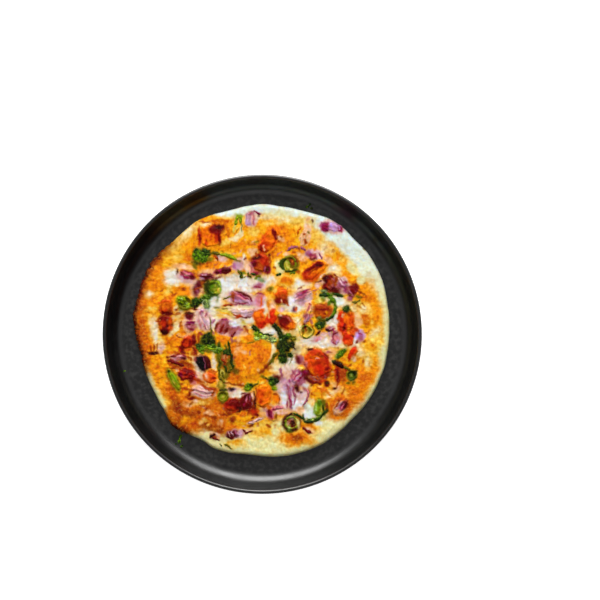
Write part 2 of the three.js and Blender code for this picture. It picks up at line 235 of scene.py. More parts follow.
TOPPING_MARKS = """
# north-west
scorch -70.3 48 to -69.6 54 1.6; peach -64 55 18 5 -8; blush -63 45.4 16 7 -15
magenta -61.6 48.2 12.5 6.6 -20; pink -65.5 50.6 to -59 47.4 2.8; blush -64 49 to -61 47.6 1.2
plum -57.6 46.4 3.4 3; tangerine -43 80.5 19 17 80; brick -51.6 87.5 to -51.6 71.5 2.8
maroon -51.6 82 to -51.4 74 1.2; brick -45.6 77 to -46.6 72.5 2; brick -38 81 9 13
tangerine -40.5 84 to -40.5 73 2.2; maroon -37 86 14 8 8; scorch -35.6 87 7 4
maroon -35.6 84 to -35.2 73 2.2; ivory -46.5 89.6 8 3.6 8; rust -51.5 92 to -43.5 91.2 1.3
toast -41 92.5 to -24 92.5 3; toast -29 88 to -27 78 3; ivory -27.5 77 to -16.5 86.5 4.6 -3
ivory -17 91 to -18 82 2; lime -19.5 96.6 5.5 4; stem lime -20.6 97 to -22.2 89 2.4
straw -22.2 90 to -23.6 82 2; stem lime -18.4 97 to -17.4 91 2; olive -17.2 91 to -17 84 1.3
blush -9 94 11 14; lilac -11.6 99 to -11.4 88.5 4.6; mauve -9 98.6 4 3; pink -7.6 97 to -7 89 2
sliver magenta -7.5 100.6 to -1.5 98 1.6 0.4; scorch -3.2 96.6 2.2 1.6 80; peach -8 67 9 7
butter -7 84 10 8
# north, tomatoes 2 and 3
flame 5 76 23 12.5 55; tangerine 8 82 14 10 60; brick 1 71 10 9 60; maroon -1.6 73 to -1 66 1.4
peach 0.8 73 to 1.6 68 1.4; maroon 8.2 86 to 12 77 3.6; peach 15 78 7 4 -30; rust 15.5 79.5 2 1.4
rust 13.6 76 1.8 1.4; rust -1 58 16 15 75; brick 2 60 8 9; maroon -5 62.5 10 4.6 12
scorch -4 62.6 5 2.6 10; magenta -8.2 57.4 8 6 30; plum -7 57 5 3.6 20; pink -8.6 51.5 8 5 -30
magenta -5 49 5 3.6 -20; rust 5.8 66 to 5.8 57 2.4; maroon 5 64.6 to 7.4 63.6 1.4; magenta 4 52.3 6.2 6.2
plum 3.8 52.6 3.8 4; mauve 2.2 55 to 1.4 50.5 1; olive 4.6 95 2 1.6; peach 34 72 to 36 91 6.5 -2
sliver toast 29 79.5 to 31.2 87.5 1.4 0.8; sliver peach 32 73 to 35.5 88 3 1.2; rust 34.2 82.2 1.8 2.4 70
olive 38 83 2.6 1.6 -20; rust 33.6 77.6 to 36.8 74 2; scorch 40.8 92.6 1.5 3; peach 37.5 94 5 3 40
sliver mauve 19.4 68.4 to 28.8 71.8 2.1 0.5; sliver mauve 30.6 71.6 to 35.4 68.4 1.8; blush 42 65 16 9 -8
mauve 37.5 66 6 5 -20; magenta 41.2 63.4 6.4 5.4; pink 41 63.2 3.2 2.4; plum 38.6 61.6 to 44 61.4 1.2
toast 42.6 69 2.4 2; sliver mauve 46.6 66.4 to 49.4 61 1.5; peach 54 60 8 6 -40
# chilli ring 1
custard 14 55 8 13 20; olive 24.5 58 11 12; burnt 25.8 60 7 7.5 -40; lime 18.6 60.5 to 21.6 52.8 4.2
straw 19 60 to 21.4 53.6 2.2; straw 21.5 53.5 to 25 53 2; moss 19.6 63 to 18.6 51.5 3.6 -3.6
moss 18.6 52 to 29 52.6 2.2 -0.8; olive 21 63.4 to 27.6 60 1.6 0.6; scorch 24 62 to 27.8 58.6 1.4 0.3
scorch 22.6 58.6 2 1.2 -40; stem moss 10.6 48.4 to 15.6 49.4 2 0.4; stem fern 22 49.6 to 27 49.8 1.6
rust 29.6 50.4 3.4 3; rust 9.6 54 2 2
# tomato 4
tangerine 42 51.5 24 12 38; brick 37 48 9 9 40; maroon 35 51 to 48.5 58.5 3 0.5
maroon 46.5 56.4 6.5 4.4 10; scorch 44 56 to 49.5 56 1.6; rust 35.4 48 to 46 55 1.6
tangerine 38 47 to 45 52.4 2; flame 42 45.5 12 4.6 30; peach 46.4 45.4 to 51 50 1.6
butter 19.5 43.5 14 10; amber 19.8 43.6 11.5 6.6; toast 18.4 44 6 3.4 20
# onion 2 and the rim
blush 57 87.6 22 12 -8; magenta 51.4 87.6 8.6 8.4 -5; plum 54.2 84.2 to 51 84.6 1.4
orchid 59.4 87.4 10 7.4 -10; magenta 63.8 86.2 5 4.6 -25; orchid 62.4 88 to 62.6 85.6 1.2
magenta 61.4 84.6 to 65 84.2 1.3; olive 84 70.6 3 4 50
# stem and leaves, upper left
night -54 58 8 3.6 -20; rust -46 58 10 2 8; leaf fern -52.5 64.5 11 9 20; leaf fern -50.5 62.2 7 5.5 -30
leaf moss -46.5 66.5 9 7 -10; leaf fern -47.6 62 8 6 60; leaf moss -54 67.5 6 5 70; olive -43 61 5 4
stem olive -42 66.6 to -34 65.2 2.3; stem lime -35 65.6 to -20.6 61 2.8 0.5; blush -33.4 61.8 10 4.6 -22
sliver rust -39.4 64.2 to -36 59.4 1.6 0.3
# onions 4 and 5, the window's upper edge
peach -44 50.5 16 5 5; magenta -40.5 50.3 to -25.5 52.8 4.6; plum -33.5 51.4 to -26 53 4.2
plum -39.5 50 to -35 50.6 1.8; magenta -46 47.2 12.5 5 -6; plum -51 46.6 to -40.4 47.8 3
lilac -49.8 48.6 to -45 48.4 1; scorch -47.6 44 4.6 2.2 10; blush -19 57 13 11 45
lilac -20.6 55.6 9 6.6 30; mauve -23.6 58 to -22 52.6 2; milk -15.6 66 to -12 50 3.6; peach -12 56 6 10 15
stem olive -20.6 52.6 to -16.2 45.4 1.8 0.3; stem moss -17.4 51.4 to -17.6 46.2 1.7
stem olive -12.4 50.8 to -9.6 45.6 1.5 0.3; stem moss -9.4 49.6 to -5.4 48 1.4
stem olive -6 46.6 to -1 46.8 1.6 0.6; sage -1 43.8 5 4.4
# onion 2b, dark vertical
peach -54 37 10 15 -15; plum -53.8 37.4 12.5 5.6 75; mauve -54.6 40 to -53.4 33 2
plum -51.4 43.6 to -49.6 38 1.6; rust -48.6 41.6 3.4 4
# chilli ring 3, leaves below
olive -63.8 25.6 14 11 -25; leaf lime -66.6 27.8 8 6 -30; leaf lime -64.6 28.4 5 3.6 -20
leaf lime -61.6 23.4 7 6 -40; leaf sprout -66 28.6 3.4 1.8 -30; leaf sprout -61.4 24 4.6 3.2 -50
moss -67.6 26 3 5; olive -65.6 20.6 8 3 -8; moss -58.6 24.4 to -56.6 21.6 1.6
leaf moss -54.4 26.6 7 7.6 80; leaf night -55 24 5 4.6 60; leaf moss -51.4 27 5 6 90
stem scorch -55.2 24 to -56 20.2 1.2; mint -49.6 31 to -48.6 22 1.6; leaf fern -46 30 4.6 8 96
leaf sage -46 25.4 6 6 100; leaf sprout -45.6 26.6 3.4 11 4; leaf sage -45.6 22.6 4 6 100
# chilli ring 2
night -45 38.6 6.6 12 -6; moss -43 33 7 5 -20; fern -38.4 38.4 9.5 12.5; lime -37.6 41 6.6 6
straw -38 36.4 5 2.6 -5; moss -41.6 43.4 to -37 44.4 1.2 0.2; moss -42 32.2 to -35.6 32.6 2 -0.6
night -38.6 38.6 1.8 1.6; straw -37.4 34 4 1.2
# onions 6 and 7 in the middle window
blush -16 28 30 14 -10; mauve -18 28.4 19 9 -24; lilac -12 25.6 14 6 -5; pink -17.6 30.6 9 3.6 -20
plum -21.6 35 to -8.6 29.4 2 0.2; magenta -20 32.6 to -11 28 1; lilac -23.4 27 to -8 26.4 1.6
sliver rust -32 23.2 to -24 23.6 1.6 0.2; magenta -25 24.2 to -13 25 1.3 -0.5
sliver olive -32.6 28.4 to -25.6 31 1.1 0.4; rust -24.4 31.4 2.4 4 10; rust -23.8 29.6 to -23.8 25.4 1
sliver magenta -10 29.8 to -8 27 1.6; blush -15 18 21 9 2; ivory -14.6 21.6 18 2.6 2
lilac -10 16 10 2.4 4; plum -22 15.4 to -8 14.4 1.2 -1.3; brick -20 14.2 4 2.4 15
rust -27 18 to -20.4 14.8 1.1 -0.3; straw -38.6 19.6 to -24 15.6 3 0.6; gold -36 17.8 to -26 15.2 1.4 0.5
olive -37.4 21.6 4 1.6 -10; olive -33 21 to -28 20 1; blush -3 39 10 7; mauve -3.6 39.4 8 3.4 8
magenta -6.4 39.4 to -1 37.6 1.3; pink -1.8 28 8 12.5 -6; magenta -5.6 32.6 to 1.6 33 1.2 0.3
flame -0.8 30 to -1.4 23 1.4; blush 1.6 31 to 1 24 1.4; amber 5.6 24 4 8; peach 8.6 22 6 9
olive 6.6 36.6 5 4 10
# onion 10 and its neighbours
blush -48 12 20 14 -64; lilac -50.6 20 to -45.4 6 1.2 -1.4; sliver mauve -51 15.6 to -48.6 19.8 1.8 0.2
sliver mauve -47 14.4 to -44.8 17.4 1.5; mauve -48.4 9 to -46.6 4 1.1; pink -52.6 12 to -50 4 1.6
stem olive -42.6 13 to -42 -2.4 1.2 -0.2
# onion 9
peach -60 9 11 19; plum -60.2 15.2 7.6 5.6 5; scorch -63.6 17 to -57.4 17.2 1.4
magenta -62.6 12.6 to -57 12.2 1.1; rose -58.6 6.6 8.6 9; magenta -62 10 to -55 9.4 2
plum -62 7.6 to -58.6 8 1.2; pink -61.4 5.6 to -54 5.8 1.5; magenta -61 3.4 to -55.4 2.8 1.8
# onion 8 and the stripes beside it
blush -30 5 16 16 -10; rose -32 6.2 13 11.6 72; maroon -38.8 1.8 to -36.8 9.6 1.8 0.2
pink -36.6 2 to -34.8 8.6 1.4; maroon -34.6 1.4 to -32.2 7.8 1.9; maroon -31 0.6 to -28.2 5.4 1.8
magenta -33.4 11.6 to -28.4 12 1.2; lilac -21.4 2.4 11 8 -15; sliver maroon -25.8 -2.4 to -21.4 2.4 1.8
mauve -19.6 3.4 to -15.4 4 1.8; rose -28.4 4.6 to -19 4.6 3.2 -0.5; rose -24.6 0.8 7 6 45
milk -28 8.8 to -20 6.6 2.4; peach -14 -1 9 5
# tomatoes 16 and 17
toast -79 23.4 11 10 90; flame -86 24.6 to -74 27 1.8 0.6; toast -79 20.6 12 13 90; brick -80.6 19.6 6 6
burnt -76.6 18.4 4 4; toast -81.4 22.6 6 5 20; maroon -83 17 to -73.6 16.4 3; maroon -79.4 7 16 11 75
rust -83 8.6 4 7 10; tangerine -84 5.4 3 3; rose -78.6 12 to -76.4 8 1.6; scorch -76 7.4 7 7 30
scorch -80.4 1.4 4.6 5; maroon -83 13 6 4 30; brick -80.8 8.8 5 4; rust -88 10.6 to -84 11 1.6
rust -71 16 to -67 17 1.8 0.4; ivory -71.4 5 12 4.4 56; ivory -71.4 20.6 6 2.6 75
# tomato 18, onions 12 and 13
peach -63 -2 10 4 -10; brick -61 -6.6 13 10 52; maroon -65.6 -9 to -62 -3.6 1.5 0.8
maroon -59.4 -10 to -60 -4 1.3 -0.5; maroon -56 0 to -56 -10 3.6; rust -52.6 1 to -52 -8 2.6
magenta -52 2 to -49 -1 1.6; maroon -66.4 -12 5.6 5 30; flame -64 -13.6 to -59 -13 1.6
toast -75 -5.6 9 4 40; rust -91 -9 to -91.4 -16 1.6; rust -88.6 -8 to -89 -15 1.4
rust -86 -8 to -86.4 -15 1.4; scorch -94 -15.2 to -84.6 -15.8 2.8 -0.3; peach -83 -11 5.4 11 -12
blush -82.6 -12 2.6 7 -12; blush -69.5 -19.2 14 6 -4; pink -70 -20 8 3.2 5
maroon -76.6 -19.4 to -66 -16.4 1.7 0.5; magenta -66 -17 to -62.4 -18 1.4; plum -64.6 -20 4.6 3.6
maroon -78 -19 2 2.6; sliver maroon -78 -21.6 to -63.4 -27 3 0.7; scorch -72 -24 to -65 -26.4 1.2
rust -62 -24.6 14 4 -25; brick -62 -32 16 9 -20; magenta -67 -33.6 5 5 -30; maroon -61 -30 10 4.4 -15
flame -66 -27.4 to -58 -29 1.4; maroon -68 -35.6 to -60.6 -36.6 2.4 -0.6; plum -69 -34 to -66 -37.4 1.4
maroon -64 -34 to -60 -32 1.8; maroon -57.6 -36.6 7.4 7.4 -10; red -57 -34.6 to -52 -40 2 0.6
pink -55.6 -33 to -51 -38.6 1.6; pink -56 -40 5 3.4 20
# chilli strip 3
rust -73 -38 21 8 -62; lime -72.8 -37.6 20.5 7 -62; straw -74 -37 to -71 -42 1
moss -78 -30.6 to -74.6 -30 1.6; fern -74.6 -32.6 to -67.4 -43 0.7
# onion 11
ink -48.4 -23.6 13 10.6 -62; ink -54 -19 to -48 -29.6 4.6; plum -46.6 -18.6 to -42.8 -28 3.4
plum -44.6 -19 to -42.2 -28 1.6; mauve -48.8 -18.4 to -46.4 -28.6 1; milk -40 -23 3.2 12 6
# tomato 15, onion 14
flame -43 -35.6 12 9.4 -10; maroon -40 -36.4 4 2; blush -48.6 -47.2 20.5 10.6 -8; blush -50 -47.6 16 7 -8
maroon -50.6 -41.4 to -38.2 -45.2 1.6 -1; rust -39 -46 to -42 -50.6 1.6
mauve -57 -44.6 to -44 -48.4 0.8 -0.6; pink -56.6 -47.6 to -45 -51 0.8 -0.6; maroon -58 -52.8 4.6 3 10
maroon -59.4 -48.4 2.6 3.4; maroon -56.8 -46 1.6 1.2
# herbs, centre left
olive -44.6 -7 14 15; leaf night -45.6 -4 10 8 60; leaf night -42.4 -6.4 8 8 100
leaf moss -43.6 -0.6 5 4 90; leaf fern -50.6 -11.4 7.5 6.5 10; leaf moss -52.6 -10 4.6 5 60
leaf fern -41.4 -10.2 10 5 -10; leaf lime -39 -12.6 10 4 -12; leaf fern -36.4 -13.6 8 5 20
leaf moss -30 -14.6 6 5 40; leaf night -28 -15.8 5 4; stem sprout -44.6 -9.6 to -33 -12.6 1 0.3
stem moss -27.6 -6 to -26 -16 1.4 -0.4; olive -35 -20 6 14 4; burnt -31.6 -19.6 3.4 8
olive -26 -25.4 7 11 14; olive -31.6 -33 9 9; stem night -26 -15 to -26 -24 1.7 0.6
stem moss -26 -22.6 to -23.4 -28.6 1.9 0.3; stem olive -24.4 -28 to -28.6 -31.6 1.8 0.2
stem olive -35.6 -18.6 to -35 -25 1.9 0.5; stem rust -33.6 -20 to -30 -23.4 1.8
stem olive -36.2 -26 to -35.6 -36 1.5 0.5; stem olive -35.8 -36.4 to -30 -39 1.5 -0.5
stem moss -31.6 -25.6 to -29.4 -31 1.6 0.4; stem olive -33 -30.6 to -30.6 -36.6 2 -0.6
straw -33 -32.4 4 6; olive -33.6 -42 6.6 7; straw -34 -41 3.4 4.4; peach -30.4 -19 4 6
burnt -33 -38.8 to -7 -41.6 1.6 -1.6
# the mound
toast -9 -3 to -20 -10 4 -1; amber -33 -5 11 8; gold -12.6 -4.6 12 7.6; amber -11.6 -4 7 4.6
rust -13.4 6.4 to -10.6 -0.8 1.6 -0.5; rust -12.8 5.4 3 2.4; straw -15 8.6 5 4; amber 1 -13.4 16 20 -8
toast -1 -18 5 10 -10; gold 3.6 -8 7 8; ivory 8.6 -7 to 5 -24 3.4 2; rust 7 -20.6 to -2 -31.6 2.2 0.9
burnt -0.6 -31 4.6 3 20; burnt 3.6 -27 3 3.4 40
# herbs, centre
leaf night -6.6 5.2 6 4.4 -30; leaf moss -4.6 3.4 6 4 -50; leaf lime -3.6 -0.6 8 6 -25
leaf sprout -4.6 -3.6 5 4; leaf sprout 1.4 -2.6 7 4 -15; stem moss -3 1.6 to 9.6 -0.6 1.2 -0.9
leaf sage 8 -4.6 8 5 -20; leaf night 9.6 7.4 5 4.6 -50; leaf night 12.4 4 6 4.6 -50
leaf night 14.4 0.4 6 4.6 -60; stem night 9 8 to 16.6 -5 2 0.4; leaf moss 15.6 -3.4 7 5 -70
leaf moss 20 -2.2 7 5 10; leaf fern 21.4 -1 4 3.4; leaf olive 25 -3.6 6 5; leaf night 17 -7.6 9 8 20
leaf night 19.6 -11 8 8 60; leaf night 14.6 -10.6 7 6 -20; leaf moss 16 -13.4 6 5
leaf night 24 -8.6 6 5 80; stem scorch 24.6 -6 to 26.6 -13.4 1.3 -0.8; leaf night 16.4 -17.6 8 6 10
leaf moss 17 -21 6.6 7 70; leaf fern 14.6 -19.6 4 4; leaf moss 22.6 -17 4 5 60
stem olive 12.6 -14.6 to 8 -20.4 2 -0.4; stem olive 8.4 -20 to 4.6 -25.6 1.6 0.2
# tomatoes 6, 7, 8, 5
flame -2.6 12.4 15.5 9.5 108; tangerine -3.4 16.6 5 6 100; red -0.6 7.6 9 6 20
red 3.4 8.6 to 10 20.6 5 0.6; red 8 12 9 7.6 60; rust 19 9.6 15 11.6 -30; tangerine 23 6 10 6 30
maroon 17.6 12.6 7 7; maroon 14 13 to 16.4 5 1.6; brick 17 6.6 to 22 3.6 2.6
rose 20.6 14 to 23.6 10 1.4 0.3; maroon 18.6 9.6 6 5 -20; scorch 14.6 14 4 3; flame 15.4 33 10 11 90
rust 15.2 28.8 12 7; maroon 12.8 27.6 6.6 5 15; maroon 18.6 26.4 5 4; peach 15.4 29 to 16 25.4 1
tangerine 14.6 36.4 5 4
# onion 18, 19
blush 33 30 16 14 20; mauve 33 32.4 11 6 24; magenta 35 35 8 2 30; mauve 32.6 30.4 4.6 4.6
lilac 32.6 26.4 6 5; blush 38.4 30.6 5 5; plum 25.8 20 3 4; brick 28 20.4 1.8 3
butter 19.6 17.6 to 34 18.6 3 -2.4; gold 21 16.6 to 33 17.6 1.5 -2.2; peach 38 22 7 9 70
pink 38.6 25.6 to 36.6 18 2.2 0.4; rust 37.6 25 to 40 23.6 1; mauve 36.6 13.6 7 6.6
lilac 37.8 16 to 37 10 1.7; plum 34 10.6 to 38.6 10.2 1
# the big chilli ring and tomato 9
straw 46.4 28 8 6 10; olive 49.6 29.4 4 5; rust 49.4 18.6 17 13; maroon 43 19.6 to 54 20.4 1.6
toast 44 15.6 to 55 15 2; maroon 50.6 16.4 2.4 1.4; gold 52.6 17.6 2.6 2
stem moss 46.6 31.6 to 54.6 30.4 2.6 1; stem fern 53.6 31 to 59.6 23.4 3.4 1
stem fern 59.6 24 to 57.4 15 2.8 0.9; stem moss 58 15.6 to 51 10.8 2 1
stem olive 51.6 11 to 44.4 13.4 1.5 0.7; sprout 54 29.4 to 58.4 24 1 0.6; moss 61 32.8 11 3.6 -6
stem moss 57 32.6 to 66.4 31.2 2.6 0.3; stem fern 51 33.4 to 57.4 31.4 2; mint 60.6 30 to 62 24 2
# G4 and ring 4
leaf moss 47 7.4 8 7 10; leaf lime 46.6 6.4 4 4; moss 50.4 8.4 3 4.6
sliver plum 44 -1.6 to 47.6 3 1.7 0.2; blush 46 -3.6 9 3.4; straw 36.4 1.6 10 10; gold 33.6 0 3 5
olive 32.6 6 to 32.6 -1.4 1.3 1.1; moss 32.4 -1 to 40.8 -1.6 1.2 -2.2; olive 40.8 -1.4 to 40.6 6 1.3 -1.2
olive 38.4 3 2.6 4.6; rust 34.4 8.4 to 36 1.6 2; scorch 34.4 7.4 2.6 3.4; sage 46 12.6 4 3.6 30
# onions 15 to 17 and the strand
blush 65 40 18 12 -40; maroon 54 41.6 11 15 -14; rose 57.6 44 5 4; rust 55.6 41 5.6 7; scorch 51.4 45 4 6
rose 58 38.4 7 5; plum 59.6 35.8 8 4 -14; maroon 63.4 38.6 4 4; scorch 51.6 38 to 53.4 34.6 2
peach 47.4 42.4 6 4 10; plum 43.6 42.6 to 48.6 43.4 1.1; mauve 64.8 41 7 9 -48
blush 62.6 44 to 66.6 39.6 1.2; blush 66.6 45 5 4; mauve 69.4 37.4 5 5; magenta 69 35.4 6 4 -30
rose 72.6 35 8 9 -30; maroon 75 37 8 8 -32; maroon 76.6 38.8 5 4.6 -20; plum 72.4 31.6 5 5.6
pink 70.6 36.6 to 74.4 31 1.2; mauve 71.4 29 4.6 3.6; stem olive 73.4 25.6 to 80 27.4 1.4 -0.4
burnt 78 34.6 to 84.4 31.6 1.8 0.5; olive 76.4 31 to 82 29.6 1.6
# tomatoes 10, 11, 12
flame 68.4 6 15 27 8; red 64.4 13 5.6 10; flame 73 12 5 12; tangerine 68.6 13 4.4 7; peach 66 15 1.6 3
red 65.6 4.6 6 8 10; maroon 67.4 9 to 66.6 2.6 2.6; tangerine 71 8 to 70 -1 2
scorch 71.4 -1.4 to 75.6 -2.4 1.4; red 69.6 -4.6 9 9 -60; flame 70.6 -7 6 6 -60
leaf moss 68.8 20.4 5.4 6 90; leaf night 69 19 4 3.4; flame 74.6 -14.6 5 9 -10
red 76 -10.6 to 70.4 -22 3.4 -0.3; brick 72 -14 to 70.2 -22 1.4; toast 84.4 11.6 7 11 18
orchid 79.8 -1 9 10 30; mauve 80.4 -3 4.6 6; mauve 75.4 4 to 79 1.6 2; magenta 78.4 1 to 82 -0.4 1.4
brick 76.6 3 3.4 3
# onion 20 and the purple hook
blush 60 -4 10 12 -20; sliver plum 51.4 4.4 to 58.4 4 2 -1.2; sliver magenta 57.8 4.6 to 57.2 -6 1.8 0.7
sliver magenta 57.6 -6.8 to 61.6 -7.4 1.5 -0.3; pink 60.6 -4 5.4 7 -10; orchid 61.2 -6.4 3 3
lilac 53.6 2.6 to 55.6 1 1.6; mauve 60 0.6 4 3; blush 63.6 -8 5 4
# tomato 13
brick 45.4 -24.4 25.5 21 -50; flame 39.6 -20 9 8 -40; flame 37.4 -22.6 6 10
rust 36.6 -13.4 to 42 -12.6 1.6; scorch 38.4 -12.6 4.6 1.8 -15; maroon 42.6 -19 to 52.6 -21 1.1 2
brick 45.6 -35.8 14 9 -10; flame 46.4 -35 9 6 -30; maroon 51 -34.6 6 4; scorch 40 -34.6 to 46 -38.6 1.2
tangerine 38.6 -29.6 to 43 -33 1.4; tangerine 54 -24 to 56.6 -30 1.4; brick 51 -32 8 6 -20
maroon 50 -15.6 to 54.6 -21 1.6; peach 41 -35 to 44.4 -34.4 0.8; maroon 53 -40.8 5.4 5.4
maroon 53.6 -28 4 2.6 20
# purple onions right of the centre
mauve 30.4 -21 6.6 8 20; blush 32.8 -17.6 to 33.4 -22 1; plum 28.8 -20.6 3 6.4 25
mauve 32.8 -18.6 to 31.6 -24.6 1.2; gold 22 -11 2 2; mauve 29 -36 13 14 20; pink 27.6 -34.6 8 7 66
magenta 25.6 -37 to 31.4 -30.6 1; magenta 28.8 -38.6 to 33.6 -33.6 1.2; lilac 27.2 -37.6 to 32.4 -32.4 1.2
blush 26.8 -33.6 to 29 -30 1; plum 36 -32 7.6 6 -10; magenta 35.4 -31.6 5 4; plum 34 -35 to 41.6 -40.4 3
milk 35.6 -42 5 3.4 -20; plum 28.4 -44.4 6.4 4 -45; scorch 27 -43 to 29.6 -46.6 1.4; peach 31.6 -45 4 4
scorch 31.6 -47.8 2.4 1.6; lilac 21 -45 8 12 20; mauve 19.6 -41 to 22.6 -49 2.4
magenta 24.8 -42.4 to 25.6 -47 1.2; sliver mauve 24 -45 to 26.8 -52.6 1.6 0.3
mauve 21.8 -48 to 23.8 -62 3 0.2; magenta 22 -50 to 24 -60 1.1 0.2
sliver pink 36.8 -45.6 to 36.8 -53 1.8 0.4; sliver mauve 36.6 -52 to 33.6 -58.6 1.5 0.3
rust 33.8 -58.4 to 32.6 -61 1.8; peach 31 -62 8 5; rose 37.4 -46 to 36.8 -55 2 0.4; lilac 17 -38 6 6
mauve 14.6 -28 to 16 -36 2.2; plum 12 -35.6 6 3.6 -30; lilac 15.6 -37 to 24 -39.6 2
magenta 21.6 -38 to 24.6 -41 1.1; milk 17.4 -53 5 12 6; milk 26.4 -57 4.4 9
toast 38.4 -45.6 to 45 -51 1.4 -1.2; mauve 53.6 -15 3.6 2.4
# leaf 7,-39 and tomato 14
leaf moss 8 -38.6 8 6 -50; leaf night 11 -38 4 6 60; leaf fern 7.4 -40.6 5 4 -60
leaf lime 9.4 -44.6 3.6 5 80; stem olive 0.4 -35.6 to 6 -37.6 1.1; tangerine 1.2 -50.5 18 13 90
flame -1.6 -49 8 7 90; tangerine 4.6 -47 7 9; brick 0 -55.6 5 4; tangerine 3 -55 6 6
rust -4.6 -44 to -5 -56 1.4; tangerine 11 -52 6 8 20; rust 9 -48.6 to 12.6 -50 1.8
burnt 13.4 -51 to 13.8 -55.4 1.1; rust -6 -58 to 6 -60 1.4 -0.6
# leaf -11,-43, ring 5 and the scorched onions
leaf fern -11.6 -43.6 7 6 20; leaf lime -12.4 -45 4 3.6; leaf moss -9.4 -42 5 3 -10
stem olive -8.6 -41.6 to -3.4 -41 1.5 0.3; blush -24 -46 9 3 20; ink -25 -45.2 5.6 2.6 15
olive -32 -51.4 8.4 9.4; lime -32 -51.4 5.4 5.6; night -35.6 -46.6 to -28.6 -46.8 1.8 0.8
straw -32.2 -51.6 2.4 3; olive -34 -56.6 to -29 -56.4 1.4; brick -25 -58.6 13 13
maroon -19 -57.4 14 9 -12; maroon -25.6 -56.6 9 5 10; rust -27.6 -62.6 6 4
scorch -21 -64.6 to -18 -62 1.6; maroon -13 -56.6 14 13 66; maroon -9.6 -61 9 6 -20; plum -11.6 -51 6 6
scorch -18.6 -61.4 4 3; pink -13.6 -56 to -12.6 -50.6 0.9; mauve -10.6 -55 to -9.8 -50 0.9
magenta -16 -60.6 to -14.4 -55 0.9; blush -8.4 -58 to -8 -48.6 1.2
sliver scorch -7 -47.6 to -6 -60.6 1.3 0.3; sliver rust -8.8 -52 to -7.6 -60 0.9
rust -12 -64.4 to -3 -66.6 3.4 0.4; maroon -6.6 -64.6 to -2.6 -67.4 1.8; brick -7 -63 8 4 -10
# south
magenta 6.6 -65.4 5.4 9.8 8; plum 5 -61.6 to 5.4 -67 1.3; pink 8 -63.6 to 9.4 -69 0.9
sliver pink 7 -61.4 to 17.4 -60.6 2.8 0.5; magenta 7.6 -61.6 to 12 -61.6 1.6
peach -12.6 -73.6 to 1 -68.4 3; sliver blush -12 -73.8 to 0.4 -68.8 2 0.3; maroon -10 -72.2 3.4 1.8 25
maroon -9 -75 3.6 1.8 35; plum -2.4 -69.6 4 1.3 15; plum -5.4 -71.4 2 1.2 20; blush -22 -81.6 16 8 8
plum -24.8 -82 10.5 7.2 10; blush -27.6 -79.6 to -26.6 -84.6 0.9; blush -25 -79 to -23.8 -84 0.9
mauve -22.2 -78.8 to -21.2 -83 1; scorch -29.6 -84 to -25 -86 1.4; lilac -18 -81 5 5
sliver maroon -16.4 -78 to -13.4 -82.6 1.6; sliver maroon -14 -82.4 to -8.6 -79.2 1.6 0.3
peach -12 -79 8 3 20; rust 2.6 -73.8 to 6.4 -76.6 1.8; peach -44 -82 to -34 -84 5
sliver scorch -43.6 -85.2 to -38.4 -82 2.2 0.5; sliver maroon -42.6 -85.8 to -35.2 -87 1.5 0.6
rust -39.4 -84.3 5 3 -10; stem olive -35.6 -90 to -33.4 -91.4 1.1; stem olive -31.6 -90.6 to -25 -94 1.2
olive -28.6 -91.6 4 1.6 -20
# ring 6, strip 2 and the arc
scorch 23.8 -72.8 15.6 15.6; moss 22 -79 6 3.4; rust 28.8 -68 4 4; peach 23.6 -70.8 8 6
maroon 25.4 -73.6 8.6 8; scorch 25.6 -73 6 5; sprout 22 -77 3 5 10; ivory 19.8 -74 2.6 3.6
scorch 17.4 -75 to 21.6 -67.6 1.7 0.8; rust 18 -71 to 22.6 -70.4 1.4
stem scorch 17.4 -70.6 to 24.4 -64.6 1.1 0.3; stem moss 24 -65 to 33.4 -69.6 1.8 0.5
stem moss 32.6 -66 to 34.6 -70.6 1.8 -0.4; stem moss 33.4 -71 to 42.6 -72 2 -0.8
stem moss 42 -71.8 to 52 -62.4 1.9 -1; stem fern 36 -69.4 to 46.6 -68.4 1.5 -0.6; milk 46 -73 6 4
fern 46.4 -60.4 14.5 9.2 84; lime 45.6 -62 7 11; fern 47 -57 6 5; mint 38 -62.6 6 13
sprout 43.4 -57 to 43 -66 1.5; sprout 45.4 -66.6 to 49 -64.6 1.6; straw 48.8 -61.6 2.6 6
moss 49.8 -56 to 50.6 -64 1.3; olive 48 -53.4 to 53 -60 3 0.6; burnt 52.6 -56 to 52.8 -64 1.8
moss 53 -61 to 49.6 -67.4 2.2 0.5; peach 38 -79 9 5 -20; sliver maroon 32.6 -77 to 40 -81.6 2.5
# onion 26 and the ring under it
toast 64 -60 18 17; burnt 57.6 -62 to 66 -68 1.7 -1.4; amber 62 -68.4 9 2.4 -6; peach 63 -60 13 9 45
lilac 60.4 -62 to 65 -55.6 2.4; plum 67 -58 5.6 8 -35; magenta 65 -60.6 3 5 -35
pink 66.4 -57 to 64.4 -61.6 0.9; burnt 63 -53.4 to 59 -60.6 1.8 0.6
# dark bits lower right
scorch 61.6 -24.4 9 4.4 -28; stem scorch 57 -22.4 to 66.4 -27.6 3.2 0.4; brick 61.4 -33 6.6 14
rust 66.6 -34 4 11; leaf night 58 -22.6 4 3; rust 60 -25 to 66 -25.6 1.4
stem olive 66 -26.6 to 71.6 -29.8 1.7 0.3; maroon 61.2 -28 to 61.4 -40.4 3.2 0.3; rust 64 -30 to 65 -38 2
rust 62 -40 to 60 -44 1.6; leaf fern 63.6 -16.6 9 5 42; leaf sprout 62 -17.6 4.4 3 45
leaf fern 66.6 -13.8 4.4 3 40; moss 73 -34 8 10; fern 72.4 -34 4.6 6; sprout 72.4 -34 2.4 2.6
night 76 -31.4 4 4; scorch 58.8 -44.4 3 2
# small marks
rust -56 36 to -50 39 1.2; maroon -40 45.6 to -34 46.4 1.2; mauve -29 54.6 to -24 56 1.2
